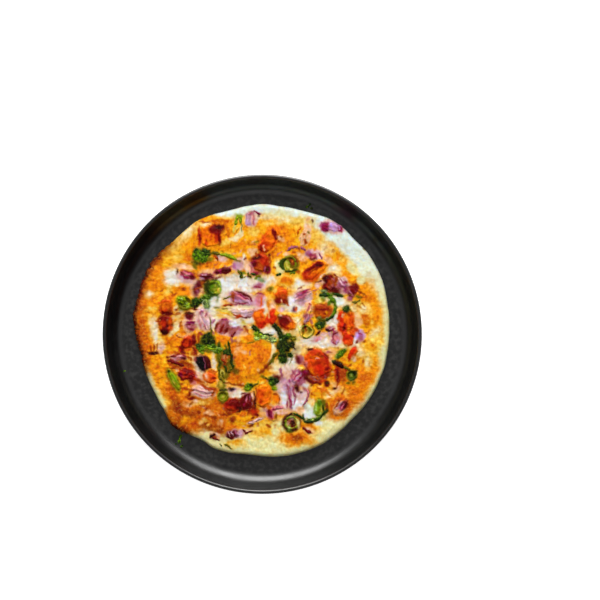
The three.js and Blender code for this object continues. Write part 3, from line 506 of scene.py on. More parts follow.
maroon -14 61.4 3 2 30; plum -11 47.4 2.4 2; pink 12 64.4 to 16 67.6 1.2; rust 26 66.6 3 1.8
maroon 28 36.4 to 32 38.4 1.1; magenta 44.6 32.6 2.4 2; rose 40.6 34.6 to 45 37 1.4
maroon 58 48.6 to 62 46.6 1.2; magenta 68 42.6 2.6 2; rust 80 27 to 84 22 1.1; maroon 77.6 -6.6 2 2.6
maroon 57 -1 to 61.6 1.4 1; mauve 23 -29.6 to 27 -33 1.6; magenta 20 -55 to 21 -61 1
mauve 27 -52 to 25.6 -58 1.4; scorch 40.6 -42.6 2.6 1.4 20; rust 44 -43.6 to 49 -46 1.2
toast 51.6 -46 to 57 -51.6 1.6; peach 60.4 -47 4 2 60; rust 67 -43 to 64.6 -50 1.4 0.4
scorch 71 -29.6 2.2 1.4 30; plum -18 -49.6 to -13 -48 1.2; maroon -8 -68.4 3 1.6 20
rust -22 -66 to -14 -67 1.4 0.3; burnt -34 -66 to -26 -65 1.6 -0.4; burnt -48 -66.6 to -40 -68.4 1.6 0.4
burnt -38.6 -69 3 3.6; burnt -52 -64 4 2.6 20; burnt -60 -59 to -54 -53.6 1.6 0.4
toast -68 -49 to -62 -43 2; rust -66 -40.6 2.4 2; maroon -75 -27.6 to -70 -29 1.2
brick -70 -10 to -66.6 -15 1.4 0.3; maroon -71 -1.6 to -66 -3.4 1.2; rust -68 5 to -66 11 1.2
maroon -70.6 19.6 2.4 2; rust -75 30.6 to -70 33 1.4; maroon -58.6 20.6 to -53 20 1.4
mauve -42.6 8.6 to -38 12 1.2; rose -42 3 to -39.6 -1 1.2; maroon -14.6 6 2.4 1.6; olive -12 -8 to -6 -6 1
toast -14 -15 4 3; olive 24.6 -19 to 22 -25 1; tangerine 38.6 -17.4 to 44 -21 1.2
rust 45 -16 to 52 -22 1.4; brick 50 -19 to 54 -25 1.4; tangerine 47 -29 to 52 -30.6 1.2 0.4
lime -36.4 36.4 5 6; straw -35.4 38 to -36.2 33.6 1.4 -0.4; sprout -38.4 42 3.4 2; straw -38.6 40 1.8 1.8
red 46.6 -28.6 8 7 -60; red 47 -31 to 50 -36 2; tangerine 40 -20 to 47 -19.4 1.2 1.5
blush 42.6 -20.8 to 46.6 -20 0.6 1; plum 41.6 -39.2 to 48 -41.4 1.6; plum 52.4 -40.4 4.6 4.6
moss 53 -40 2 2; rose 45 -34 to 47 -38 1.4; blush 42 -35.6 to 43.4 -38 1; rose 50.4 -33 to 51.4 -37 1.2
pink 35 -25 4 6 20; peach 55.8 -21 3 7 10; rose 40.4 -35.4 5 2.6 -30; rust -55.8 -14.6 5 7 -30
maroon -58 -10 to -53.6 -18 1.6; rust -78 -23 to -66 -28 2.6 -1; rust -73.4 -15 to -67 -16 2.2
rust -51.4 -38.8 8 3.4 -30; rust -67 -44.6 to -57 -46 2.4; olive -49 -13.6 to -42 -15 2
moss -35.8 -6 to -35 -14 2.6; toast -41 -31.4 6 3; peach -45.6 -35 3 5; lilac -50 45.6 4 2.6
flame -75.6 10 4 6; butter -84.8 -1 4 7; rose -11 56.6 to -8.6 52 1.8 0.4; olive -23 60.8 to -18 59.4 1.6
fern -5 45.4 3 2; olive -14.6 46 3 1.2 20; milk -10 35.6 6 3; milk -10 10.4 5 4; blush -5 20.6 4.6 3.6
flame -0.4 19 4 4; peach 5 18 to 5.4 13 1.8; straw 5 -5 4 2.6; blush 15 20 5 4; fern 15 -5 3 2.4
olive 11 -17 to 8.6 -24 2.2 -1; butter 10 35.4 4 4; peach 20 65 5 4; peach 32 63 11 5 -45
blush 45 40 4.4 4; sage 50 35 5 2.6; lilac 35 10.6 3.4 4; rose 39.6 12 to 40.6 7.6 1.8
mauve 55 5.4 5 2.6 20; milk 60.4 10.4 4 3; blush 50 0 6 4.6; pink 44.6 -4.4 7 2.6 25
ivory 65 -10 8 3.6 -20; rose 35 -45.4 5 2.6 -45; lilac 25 -40 4 4; ivory 40 -55 6 4.6; blush 17 -65 8 3
sprout 38 -70.8 to 42 -70 1.8; toast 50 -45.6 6 4; olive 68.4 -40 to 72 -40.6 2; ivory 75 20.4 4 5
custard 73 53.4 12 7 -55; fern 56 27.4 to 53.4 23 2.4; ivory 3 95.4 14 3.4; butter 5 90.4 7 4
tangerine 5 70 3.4 4; custard 80.8 43.6 7 7 -60; ivory -10 5.4 5 2.6; peach -15.4 -15 3.4 5 60
peach -20 -4.8 3.6 3; peach -55 -55.4 6 2.6; rust -61.6 -17.6 to -58 -22 2; rose -55 -20.8 2.6 4
fern -15.4 50 3 2; fern -52.4 -13.8 to -47.6 -16 2; olive -57 57 to -53.6 52.6 2; lilac 55 0 4 3
milk 50 -10 8 3; rust -30.4 -17 to -30 -23 1.8; rust 19 26.8 to 21 23 1.8; straw 28.6 6.8 to 31 3 1.4
rose -47 -43.4 to -42.6 -46 1.6; maroon -67 -14.4 to -62.6 -16 2.2; butter -35 15 5 2.6 -20
rust -42 -29.4 to -38 -31 1.6; peach 14.6 15 3 2.6; sprout 50 30 3.6 2.6; toast 25 60 3 3
straw 25 -5 2.4 2.2; pink 40 15 3 3; stem lime -50.6 -11.4 to -34 -13.6 1.4 0.6
stem sprout -43 -12.8 to -34 -16 0.9; straw -46 -10.4 to -41 -11.4 1; rose 41 -37.4 to 46.4 -38.6 1.2
rust -51 -41.8 to -37.6 -46.6 2; amber -65 0 4 4; toast -51.4 -69 4 3; straw 25 -5.2 to 30.6 -5 1.6 -0.6
dusk 35 -60 4 3; toast -75 -15 4 3; maroon -26.8 -84.4 to -23.4 -86 1.8; burnt -35 -79.8 7 3 -10
peach 75 -20 4 5; rust -5.6 67 to -4.4 62.6 2; custard 10.4 -80 6 6 60; butter 45.4 36 to 44.6 29 2
rose -25.6 -3 to -24.6 -7.6 1.6; milk -15 35.6 4 2; olive 0 -35 3 2 -30; butter 0 -40.6 4 2.4
sprout -35 40 3 2.2; burnt -25 -70 6 5; toast -16 -65.4 6 4 10; peach 80 10 3 6; flame -75.4 5 4 3
maroon 38.4 -39.4 to 42.6 -40.6 2.2; peach -15 0 4 3; straw 50 -70 4 3 30; peach -70.4 -30 3 2.2
tangerine 40 -30 3 4 30; rust 60.6 46.6 to 59.6 39.4 2; toast 55 -55 5 4; flame 0 65 3.4 3
ivory -70 40 3.4 3; olive -30.4 -8 to -29.6 -13 1.8; olive 75 -40 3 2.2 40; moss -35 -23 to -35.6 -28 2.2
olive -35.4 -33 to -34.6 -37 2.2; ivory -90 5 3.4 6; butter 90 10 3 4; toast -75 30 5 4
amber -90 24.6 4 5; butter 65 60.4 5 5 -50; straw 80 25 3.4 4; tangerine 5 -60 3.4 4
custard 23.2 -68.2 6 2.6; straw 28.6 -72 3.2 9 8; custard 29.6 -74 2 6 8; blush 24.8 -69.8 4 2.4 10
straw 25.6 -65 3 1.4; pink 21 -74.6 to 22.6 -72 1.2; leaf sage 15 -5 3 2.4 20; leaf straw 5 -5 3.4 2.2
leaf sprout 10 -5.4 3.2 2.2 30; leaf sage 50 35 3 2; stem sprout 37.6 -70.8 to 43 -70 1.6 -0.2
"""

# Herb bits on the bare plate.
PLATE_CRUMBS = """
leaf moss 36.6 104.6 4 2.6 30; leaf moss 38.8 106.4 3 2 80; leaf night 40.4 103.2 3 2.4 -20
leaf fern -67.6 -84.6 4.6 3 60; leaf fern -68.6 -88.4 5 3 80; leaf moss -66.6 -92.4 4 2.4 40
leaf fern -113.6 -30.6 2.4 1.8 20; leaf moss -71.4 -90.6 2.4 1.6 10
"""


class Mark:
    """One marking: an ellipse, or a bent stroke with square ends."""

    def __init__(self, entry):
        words = entry.split()
        self.kind = words.pop(0) if words[0] in ("leaf", "sliver", "stem") else "flat"
        self.tone = words.pop(0)
        self.stroke = "to" in words
        numbers = [float(word) for word in words if word != "to"]
        if self.stroke:
            x1, y1, x2, y2, self.width, self.bend = (numbers + [0.0])[:6]
            self.x, self.y = (x1 + x2) / 2, (y1 + y2) / 2
            self.length = math.hypot(x2 - x1, y2 - y1)
            self.turn = math.atan2(y2 - y1, x2 - x1)
        else:
            self.x, self.y, self.length, self.width, turn = (numbers + [0.0])[:5]
            self.bend = 0
            self.turn = math.radians(turn)

    def local(self, x, y):
        """A point's place in the marking: -1 to 1 along and across it."""
        dx, dy = x - self.x, y - self.y
        along = (dx * math.cos(self.turn) + dy * math.sin(self.turn)) / (self.length / 2)
        across = dy * math.cos(self.turn) - dx * math.sin(self.turn)
        return along, (across - self.bend * (1 - along**2)) / (self.width / 2)

    def point(self, along, across):
        """The other way round: where a place in the marking lies."""
        across = across * self.width / 2 + self.bend * (1 - along**2)
        along = along * self.length / 2
        return (self.x + along * math.cos(self.turn) - across * math.sin(self.turn),
                self.y + along * math.sin(self.turn) + across * math.cos(self.turn))

    def cover(self, x, y, blur):
        """How far the marking covers a point, 0 to 1, fading over blur millimetres."""
        along, across = self.local(x, y)
        away = np.sqrt(along**4 + across**2) if self.stroke else np.hypot(along, across)
        spread = blur if self.stroke else 1.8 * blur
        soft = min(max(spread / (min(self.length, self.width) / 2), 0.15), 0.85)
        return smooth(1 + soft, 1 - soft, away)


def read_marks(table):
    """The markings that a table lists. Its lines that start with # are notes."""
    rows = [row for row in table.strip().splitlines() if not row.startswith("#")]
    return [Mark(entry) for row in rows for entry in row.split(";")]


def shreds(count, reach, tones, seed):
    """Small strokes spread by chance over a disc: scraps of the toppings and scorched specks."""
    rng = np.random.default_rng(seed)
    found = []
    for _ in range(count):
        radius, turn = reach * math.sqrt(rng.uniform()), rng.uniform(0, math.tau)
        x, y = radius * math.cos(turn), radius * math.sin(turn)
        length, width, heading = rng.uniform(1.2, 5), rng.uniform(0.8, 2.2), rng.uniform(0, 180)
        found.append(Mark(f"{rng.choice(tones)} {x} {y} {length} {width} {heading}"))
    return found


PATCHES, MARKS, CRUMBS = (read_marks(table) for table in (CRUST_PATCHES, TOPPING_MARKS, PLATE_CRUMBS))
SCRAPS = shreds(300, 78, ["rose", "mauve", "maroon", "rust", "peach", "olive", "toast", "blush"], seed=21)
SCRAPS += shreds(280, 98, ["toast", "burnt", "gold", "butter"], seed=22)


def drift(x, y):
    """How far the outlines of things stray at each point, so that nothing is a tidy ellipse."""
    return [0.75 * fractal(x, y, 5.2, 2, seed) + 0.45 * fractal(x, y, 1.9, 2, seed + 2)
            for seed in (71, 72)]


def strayed(x, y):
    """Where something planned at x, y lies once its outline has strayed."""
    dx, dy = drift(x, y)
    return x - dx, y - dy


def lay(colour, marks, x, y, stray, blur, strength):
    """Lays each marking over the colours at some points.

    stray is how far its outline wanders and blur how soft it is, in millimetres. strength is the most that
    it hides.
    """
    strength = np.broadcast_to(strength, np.shape(x))
    dx, dy = drift(x / stray, y / stray)
    wx, wy = x + stray * dx, y + stray * dy
    for mark in marks:
        reach = mark.length / 2 + mark.width / 2 + abs(mark.bend) + 2 * stray + blur
        near = (np.abs(x - mark.x) < reach) & (np.abs(y - mark.y) < reach)
        if near.any():
            share = strength[near] * mark.cover(wx[near], wy[near], blur)
            colour[near] = over(colour[near], tone(mark.tone), share)
    return colour


# ---- reading the frame

FLAT = 0.02  # millimetres by which points of one level may differ
KINDS = ("tomato", "onion", "chilli_ring", "chilli_strip")
PLATE_RADIUS, _, PLATE_TOP = (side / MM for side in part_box("plate")[1])
CAKE_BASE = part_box("pancake")[0][2] / MM
PLATE_FLOOR = 5.6
COVE_START = 113  # the radius at which the plate's floor starts to curve up
COVE_RADIUS = 11
EDGE_HEIGHT = 1.6  # from the pancake's underside up to its widest outline
EDGE_RUN = 5  # how far in from the outline its top rises
TOP_RISE = 5  # from the widest outline up to the top
DIRECTIONS = 720  # in which the pancake's outline is known
HARMONICS = 40  # waves round the outline that are kept, so that it runs smoothly
OUTER_WALL = 90  # the pancake's pockets lie inside this radius and its outline outside it
EDGE_CIRCLE = 100  # the radius of the circle along which the noise of its edge is read


def node_points(name):
    """A CAD node's points in millimetres."""
    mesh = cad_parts[name].data
    found = np.empty(len(mesh.vertices) * 3)
    mesh.vertices.foreach_get("co", found)
    return found.reshape(-1, 3) / MM


def perimeter(loop):
    """The length of a closed outline."""
    return np.hypot(*(np.roll(loop, -1, 0) - loop).T).sum()


def base_loops(name):
    """The closed outlines of a CAD piece's flat underside, longest first, in millimetres."""
    points = node_points(name)
    low = points[:, 2].min()
    keys = [tuple(np.round(p[:2], 2)) for p in points]
    directed = set()
    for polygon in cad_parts[name].data.polygons:
        corners = list(polygon.vertices)
        if max(points[corners, 2]) > low + FLAT:
            continue
        for a, b in zip(corners, corners[1:] + corners[:1]):
            if keys[a] != keys[b]:
                directed.add((keys[a], keys[b]))
    edges = {a: b for a, b in sorted(directed) if (b, a) not in directed}
    loops = []
    while edges:
        start = min(edges)
        here = edges.pop(start)
        loop = [start]
        while here != start:
            loop.append(here)
            here = edges.pop(here)
        loops.append(np.array(loop))
    return sorted(loops, key=perimeter, reverse=True)


def rounded_loop(loop, per_side=4):
    """A smooth closed curve through a loop's points (Catmull-Rom)."""
    before, after, beyond = (np.roll(loop, shift, 0) for shift in (1, -1, -2))
    steps = np.arange(per_side) / per_side
    parts = [
        0.5 * (2 * loop + (after - before) * t + (2 * before - 5 * loop + 4 * after - beyond) * t**2
               + (3 * loop - before - 3 * after + beyond) * t**3)
        for t in steps
    ]
    return np.stack(parts, 1).reshape(-1, 2)


def inside_distance(x, y, loop):
    """Distance to a loop, positive inside and negative outside."""
    best = np.full(np.shape(x), 1e9)
    inside = np.zeros(np.shape(x), bool)
    for (ax, ay), (bx, by) in zip(loop, np.roll(loop, -1, 0)):
        dx, dy = bx - ax, by - ay
        share = np.clip(((x - ax) * dx + (y - ay) * dy) / max(dx * dx + dy * dy, 1e-12), 0, 1)
        best = np.minimum(best, np.hypot(x - ax - share * dx, y - ay - share * dy))
        if ay != by:
            crosses = ((ay > y) != (by > y)) & (x < ax + (y - ay) * dx / dy)
            inside ^= crosses
    return np.where(inside, best, -best)


def seed_of(name):
    """A seed of its own for each name."""
    return 1000 + 37 * sum(ord(c) * (i + 1) for i, c in enumerate(name)) % 9973


def read_toppings():
    """The cut pieces in the frame: each one's kind and outlines. Soft ones have strayed outlines."""
    found = {}
    for name in sorted(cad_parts):
        for kind in KINDS:
            if name.startswith(kind):
                loops = [rounded_loop(loop) for loop in base_loops(name)]
                if kind in ("tomato", "onion"):
                    loops[0] = np.stack(strayed(*loops[0].T), -1)
                found[name] = {"kind": kind, "loops": loops}
    return found


def outline_series():
    """The pancake's outline from its CAD solid: its radius in each direction."""
    points = node_points("pancake")
    side = points[np.abs(points[:, 2] - CAKE_BASE - EDGE_HEIGHT) < FLAT]
    angle, radius = np.arctan2(side[:, 1], side[:, 0]), np.hypot(side[:, 0], side[:, 1])
    keep = radius > OUTER_WALL
    angle, radius = angle[keep], radius[keep]
    order = np.argsort(angle)
    wanted = np.linspace(-math.pi, math.pi, DIRECTIONS, endpoint=False)
    series = np.fft.rfft(np.interp(wanted, angle[order], radius[order], period=math.tau))
    series[HARMONICS:] = 0
    return wanted, np.fft.irfft(series, DIRECTIONS)


TOPPINGS = read_toppings()
OUTLINE_ANGLE, OUTLINE_RADIUS = outline_series()


# ---- the pancake's surface

# How wide the pale, unbrowned rim is in each direction: (degrees, millimetres).
RIM_WIDTH = [
    (0, 5.5), (12, 6), (20, 10), (27, 13.5), (33, 15), (40, 15), (46, 14.5), (51, 16), (56, 16.5),
    (62, 13), (68, 9.5), (74, 7.5), (84, 8), (95, 8.5), (104, 6.5), (110, 3), (115, 0), (189, 0),
    (194, 3), (204, 5.5), (216, 5), (223, 4.5), (227, 2), (233, 4), (238, 10), (246, 13), (254, 14),
    (262, 17), (272, 24), (284, 19), (292, 13.5), (300, 20), (308, 21), (314, 15), (320, 10),
    (328, 7.5), (345, 6.5),
]
SWELL = 0.3  # how far the batter rises round a cut piece
HOLLOW = 1.1  # how far it sinks under one

# Low swellings of the batter: (height, oval).
BUBBLES = [
    (0.7, Mark("swelling 1 -13 17 21 -8")), (0.4, Mark("swelling -10 -24 30 26")),
    (0.6, Mark("swelling 19.5 43.5 12 7")), (0.5, Mark("swelling -33 -5 10 7")),
    (0.5, Mark("swelling -12 -4.5 11 7")), (0.3, Mark("swelling 27 -86 26 10")),
    (0.4, Mark("swelling 64 -60 17 16")), (0.4, Mark("swelling -18 -70 16 8")),
    (0.4, Mark("swelling 84 12 7 9")), (0.5, Mark("swelling 46 -47 12 7")),
    (0.3, Mark("swelling 48 18.5 16 12")), (0.3, Mark("swelling -80 22 12 16")),
]
BUBBLE_BLUR = 2.5  # how softly they rise
NEARBY = 5  # how far round a cut piece its depth is worked out
FAR_OFF = -9.0  # the depth that stands for anywhere further away


def crisp_side(angle):
    """1 along the crisp, lacy left edge and 0 elsewhere."""
    degrees = bearing(angle)
    upper_left = smooth(128, 146, degrees) * smooth(206, 190, degrees)
    crust_lobe = smooth(221, 226, degrees) * smooth(236, 231, degrees)
    return np.maximum(upper_left, crust_lobe)


def raggedness(angle):
    """How far the visible edge lies in from the CAD outline: wavy, and lacy along the crisp side."""
    x, y = EDGE_CIRCLE * np.cos(angle), EDGE_CIRCLE * np.sin(angle)
    gentle = 0.3 * fractal(x, y, 16, 2, 401)
    lace = 1.8 * np.abs(fractal(x, y, 4.2, 3, 402)) + 0.6 * fractal(x, y, 9, 2, 403) - 1.4
    return gentle + crisp_side(angle) * lace


def edge_radius(angle):
    """The radius of the pancake's visible edge."""
    return np.interp(angle, OUTLINE_ANGLE, OUTLINE_RADIUS, period=math.tau) - raggedness(angle)


def edge_inset(x, y):
    """Distance in from the pancake's edge."""
    return edge_radius(np.arctan2(y, x)) - np.hypot(x, y)


def topping_depth(x, y):
    """The distance into (positive) or away from (negative) the nearest cut piece."""
    found = np.full(np.shape(x), FAR_OFF)
    for topping in TOPPINGS.values():
        loop = topping["loops"][0]
        low, high = loop.min(0) - NEARBY, loop.max(0) + NEARBY
        near = (x > low[0]) & (x < high[0]) & (y > low[1]) & (y < high[1])
        if near.any():
            found[near] = np.maximum(found[near], inside_distance(x[near], y[near], loop))
    return found


def batter_height(x, y, depth=None):
    """Height of the batter's top, in millimetres above the table. depth is from topping_depth."""
    inset = edge_inset(x, y)
    rise = np.clip(inset / EDGE_RUN, 0, 1)
    shoulder = (1 - (1 - rise) ** 3) ** (1 / 3)
    ripple = np.sin(x / 17 + 1) * np.cos(y / 21 - 0.5) + 0.5 * np.sin((x - 2 * y) / 33)
    z = CAKE_BASE + EDGE_HEIGHT + TOP_RISE * shoulder + 0.35 * ripple * rise
    relief = 0.36 * fractal(x, y, 19, 2, 11) + 0.24 * fractal(x, y, 6.5, 3, 12)
    first, second = cells(x + 2 * fractal(x, y, 9, 2, 14), y + 2 * fractal(x, y, 9, 2, 15), 4.2, 13)
    relief = relief + 0.16 * smooth(0.0, 0.5, second - first) - 0.08
    for height, oval in BUBBLES:
        relief = relief + height * oval.cover(x, y, BUBBLE_BLUR)
    if depth is not None:
        relief = relief + SWELL * smooth(-3.5, -0.2, depth) - HOLLOW * smooth(0.5, 1.8, depth)
    return z + relief * smooth(0.5, 5, inset)


def crust_colour(x, y):
    """The browned crust that everything else lies on."""
    colour = coat("gold", x)
    toasty = smooth(0.0, 0.9, fractal(x, y, 15, 3, 31))
    colour = over(colour, tone("amber"), 0.5 * toasty)
    sunny = smooth(0.1, 0.9, fractal(x, y, 11, 3, 35))
    return over(colour, tone("butter"), 0.4 * sunny)


def with_pale_rim(colour, x, y, inset):
    """The rim that never browned: custard below, whiter further up, with a yolky seam inside it."""
    width = np.interp(bearing(np.arctan2(y, x)), *np.transpose(RIM_WIDTH), period=360)
    wavering = inset + 1.3 * fractal(x, y, 11, 3, 41) + 0.5 * fractal(x, y, 3, 2, 42)
    yolky = smooth(width + 7, width + 1, wavering) * smooth(1, 5, width)
    colour = over(colour, tone("butter"), 0.7 * yolky)
    blend = 1.2 + 0.14 * width
    rim = smooth(width + blend, width - blend, wavering) * smooth(0, 2.5, width)
    pale = over(tone("custard"), tone("mint"), smooth(-10, 62, y - 0.2 * x))
    return over(colour, pale, rim)


def with_crisp_edge(colour, x, y, inset):
    """Brown and then black towards the crisp left edge, and a faint painted shadow, in brown, along the
    lower edge, away from the window light.
    """
    angle = np.arctan2(y, x)
    degrees = bearing(angle)
    crisp = crisp_side(angle)
    lower = smooth(200, 228, degrees) * smooth(330, 300, degrees)
    brim = crisp * smooth(9.5, 1.4, inset + 2.4 * fractal(x, y, 5, 2, 61))
    # painted shadow: a faint brown line along the lower edge, which faces away from the window light
    brim = np.maximum(brim, 0.18 * lower * smooth(1.0, 0.0, inset))
    colour = over(colour, tone("burnt"), 0.75 * brim)
    black = crisp * smooth(4.6, 0.6, inset + 1.8 * fractal(x, y, 3, 2, 62))
    return over(colour, tone("char"), 0.85 * black)


def cooked(colour, x, y):
    """Uneven browning at a few millimetres: darker places are redder and paler ones yellower."""
    change = 0.7 * fractal(x, y, 6.4, 2, 81) + 0.75 * fractal(x, y, 2.4, 2, 83)
    weight = (0.04 + 0.32 * colour[..., 3:]) * np.clip(change, -1.1, 1.1)[..., None]
    darker, lighter = np.array([0.5, 1.1, 1.9]), np.array([0.15, 0.7, 2.6])
    factor = 1 + np.minimum(weight, 0) * darker + np.maximum(weight, 0) * lighter
    result = colour.copy()
    result[..., :3] = np.clip(colour[..., :3] * np.maximum(factor, 0.1), 0, 1)
    return result


def painted(x, y):
    """The dish's own colour at each point of its top, as screen values 0 to 1, with how crusty it is."""
    inset = edge_inset(x, y)
    colour = with_pale_rim(crust_colour(x, y), x, y, inset)
    colour = lay(colour, PATCHES, x, y, stray=2.4, blur=2.0, strength=0.9)
    shown = smooth(5, 14, inset) * (0.15 + 0.7 * colour[..., 3])
    colour = lay(colour, SCRAPS, x, y, stray=1.4, blur=0.7, strength=shown)
    colour = with_crisp_edge(colour, x, y, inset)
    colour = lay(colour, MARKS, x, y, stray=1.0, blur=0.75, strength=0.94)
    return cooked(colour, x, y)


def as_attribute(colour, shade=1.0):
    """Painted colours as a mesh stores them, less what the surface's own gloss adds back."""
    stored = np.array(colour, float).reshape(-1, 4)
    matt = (linear(np.clip(stored[:, :3], 0, 1)) - GLOSS) * np.reshape(shade, (-1, 1))
    stored[:, :3] = np.maximum(matt, DARKEST)
    return stored


# ---- meshes

def add_object(name, data):
    """Puts a mesh, light or camera into the scene as an object."""
    thing = bpy.data.objects.new(name, data)
    bpy.context.scene.collection.objects.link(thing)
    return thing


def new_piece(name, points, faces, paint, slot, replaces=(), colours=None):
    """A shaded piece from points in millimetres. colours are four values per point."""
    mesh = bpy.data.meshes.new(name)
    mesh.from_pydata((np.asarray(points) * MM).tolist(), [], [tuple(map(int, face)) for face in faces])
    mesh.update()
    mesh.polygons.foreach_set("use_smooth", [True] * len(mesh.polygons))
    if colours is not None:
        attribute = mesh.color_attributes.new("painted", "FLOAT_COLOR", "POINT")
        attribute.data.foreach_set("color", np.asarray(colours, np.float32).reshape(-1))
    mesh.materials.append(paint)
    piece = add_object(name, mesh)
    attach(piece, "root")
    if replaces:
        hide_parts(*replaces)
    return piece


def stack(*columns):
    """x, y and z of each point, side by side."""
    return np.stack([np.broadcast_to(column, np.shape(columns[0])) for column in columns], -1)


def grid_faces(rows, columns, wrap=False, wrap_rows=False):
    """Quads over a grid of points stored row by row.

    wrap joins the last column to the first, and wrap_rows the last row to the first.
    """
    row_starts = np.arange(rows if wrap_rows else rows - 1)
    i, j = np.meshgrid(row_starts, np.arange(columns if wrap else columns - 1), indexing="ij")
    after = (j + 1) % columns
    row, next_row = i * columns, ((i + 1) % rows) * columns
    quads = np.stack([row + j, row + after, next_row + after, next_row + j], -1)
    return quads.reshape(-1, 4).tolist()


def grid_border(rows, columns):
    """A grid's border points in order, once round."""
    index = np.arange(rows * columns).reshape(rows, columns)
    return np.concatenate([index[0, :-1], index[:-1, -1], index[-1, :0:-1], index[:0:-1, 0]])


def wall_faces(upper, lower):
    """Quads between two rings of points."""
    return np.stack([upper, lower, np.roll(lower, -1), np.roll(upper, -1)], -1).tolist()


def fan_faces(ring, middle):
    """Triangles from a ring of points to its middle point."""
    return [[middle, after, here] for here, after in zip(ring, np.roll(ring, -1))]


def facing_up(points, faces):
    """Turns all the faces over if a grid's middle faces down."""
    a, b, c = (points[faces[len(faces) // 3][k]] for k in range(3))
    if np.cross(b - a, c - a)[2] < 0:
        return [face[::-1] for face in faces]
    return faces


def closed_sheet(x, y, z, depth, rings=False):
    """A grid of points with its border carried down by depth and closed underneath.

    With rings, each row goes once round a middle, which is the first row. The result is the points, the
    faces, and which grid point each point came from.
    """
    rows, columns = x.shape
    count = rows * columns
    border = np.arange(count - 1, count - columns - 1, -1) if rings else grid_border(rows, columns)
    points = stack(x, y, z).reshape(-1, 3)
    under = np.arange(len(border)) + count
    faces = grid_faces(rows, columns, wrap=rings) + wall_faces(border, under)
    faces.append(list(under[::-1]))
    source = np.concatenate([np.arange(count), border])
    return np.concatenate([points, points[border] - [0, 0, depth]]), facing_up(points, faces), source


class Heap:
    """Many small closed meshes gathered into one piece."""

    def __init__(self):
        self.points, self.faces, self.colours, self.count = [], [], [], 0

    def add(self, points, faces, colours):
        self.points.append(points)
        self.faces += [[corner + self.count for corner in face] for face in faces]
        self.colours.append(colours)
        self.count += len(points)

    def piece(self, name, paint, slot):
        points, colours = np.concatenate(self.points), np.concatenate(self.colours)
        return new_piece(name, points, self.faces, paint, slot, colours=colours)


# ---- the pancake and the plate

# Rings of points under the pancake's edge: (millimetres in from it, millimetres above the underside).
UNDERCUT = ((0.15, 0.9), (0.7, 0.3), (1.6, 0.0))


def disc_grid(cells_across):
    """A square grid of points spread evenly over the unit disc."""
    line = np.linspace(-1, 1, cells_across + 1)
    u, v = (side.reshape(-1) for side in np.meshgrid(line, line))
    wide = np.abs(u) >= np.abs(v)
    radius = np.where(wide, u, v)
    safe_u, safe_v = np.where(u == 0, 1, u), np.where(v == 0, 1, v)
    turn = np.where(wide, math.pi / 4 * v / safe_u, math.pi / 2 - math.pi / 4 * u / safe_v)
    return radius * np.cos(turn), radius * np.sin(turn)


def build_pancake(paint, cells_across=292):
    """The batter, from its swollen, dimpled top down round its edge to its flat underside."""
    ux, uy = disc_grid(cells_across)
    angle, share = np.arctan2(uy, ux), np.hypot(ux, uy)
    radius = edge_radius(angle)
    x, y = share * radius * np.cos(angle), share * radius * np.sin(angle)
    depth = topping_depth(x, y)
    shade = 1 - 0.05 * smooth(-0.9, -0.1, depth)
    colours = as_attribute(painted(x, y), shade)
    points = [stack(x, y, batter_height(x, y, depth))]

    side = cells_across + 1
    count = side * side
    border = grid_border(side, side)
    faces = grid_faces(side, side)
    bx, by = x[border], y[border]
    length = np.hypot(bx, by)
    upper = border
    for inward, height in UNDERCUT:
        scale = (length - inward) / length
        points.append(stack(bx * scale, by * scale, np.full(len(border), CAKE_BASE + height)))
        lower = np.arange(len(border)) + count
        faces += wall_faces(upper, lower)
        upper = lower
        count += len(border)
    points.append(np.array([[0, 0, CAKE_BASE]]))
    faces += fan_faces(upper, count)
    source = np.concatenate([np.arange(side * side), np.tile(border, len(UNDERCUT)), [0]])
    return new_piece("uttapam_batter", np.concatenate(points), faces, paint, "batter", ["pancake"],
                     colours[source])


def arc(centre, radius, start, end, steps):
    """Points along an arc, from one angle in degrees to another."""
    angles = np.radians(np.linspace(start, end, steps))
    return [(centre[0] + radius * math.cos(a), centre[1] + radius * math.sin(a)) for a in angles]


def plate_section():
    """Half the plate's section, from the underside's middle round the rim to the floor's middle."""
    foot = 1.4  # the underside's height above the table
    lip = 1.7  # the radius of the rounded top edge
    under = [(r, foot) for r in (4, 20, 40, 60, 72)]
    foot_ring = [(79.2, foot), (80.4, foot - 0.5), (81.2, 0.15), (81.8, 0), (84.2, 0), (84.9, 0.2),
                 (85.6, foot - 0.4), (86.6, foot)]
    bottom, knee = (PLATE_RADIUS - 17, foot), (PLATE_RADIUS - 1.5, foot + 1)
    brim = (PLATE_RADIUS, PLATE_TOP - lip)
    wall = [tuple((1 - t) ** 2 * a + 2 * t * (1 - t) * b + t * t * c
                  for a, b, c in zip(bottom, knee, brim)) for t in np.linspace(0, 1, 22)]
    rim = arc((PLATE_RADIUS - lip, PLATE_TOP - lip), lip, 0, 180, 22)[1:]
    cove = arc((COVE_START, PLATE_FLOOR + COVE_RADIUS), COVE_RADIUS, -20, -90, 26)
    inner = [(r, PLATE_FLOOR) for r in np.linspace(108, 4, 27)]
    return np.array(under + foot_ring + [(100, foot)] + wall + rim + cove + inner, float)


def build_plate(paint, around=300):
    """The plate as a finely turned solid of the CAD plate's section, with a slightly uneven rim."""
    section = plate_section()
    turn = np.linspace(0, math.tau, around, endpoint=False)
    r, z = section[:, 0][:, None], section[:, 1][:, None]
    wave = 0.12 * np.sin(2 * turn + 1) + 0.08 * np.sin(3 * turn) - 0.2
    z = z + wave * (z > 18) * smooth(100, 130, r)
    points = stack(r * np.cos(turn), r * np.sin(turn), z).reshape(-1, 3)
    count = len(points)
    first, last = np.arange(around), np.arange(around) + count - around
    points = np.concatenate([points, [[0, 0, section[0, 1]], [0, 0, section[-1, 1]]]])
    faces = grid_faces(len(section), around, wrap=True)
    faces += fan_faces(first, count) + fan_faces(last[::-1], count + 1)
    return new_piece("stoneware_plate", points, faces, paint, "stoneware", ["plate"])


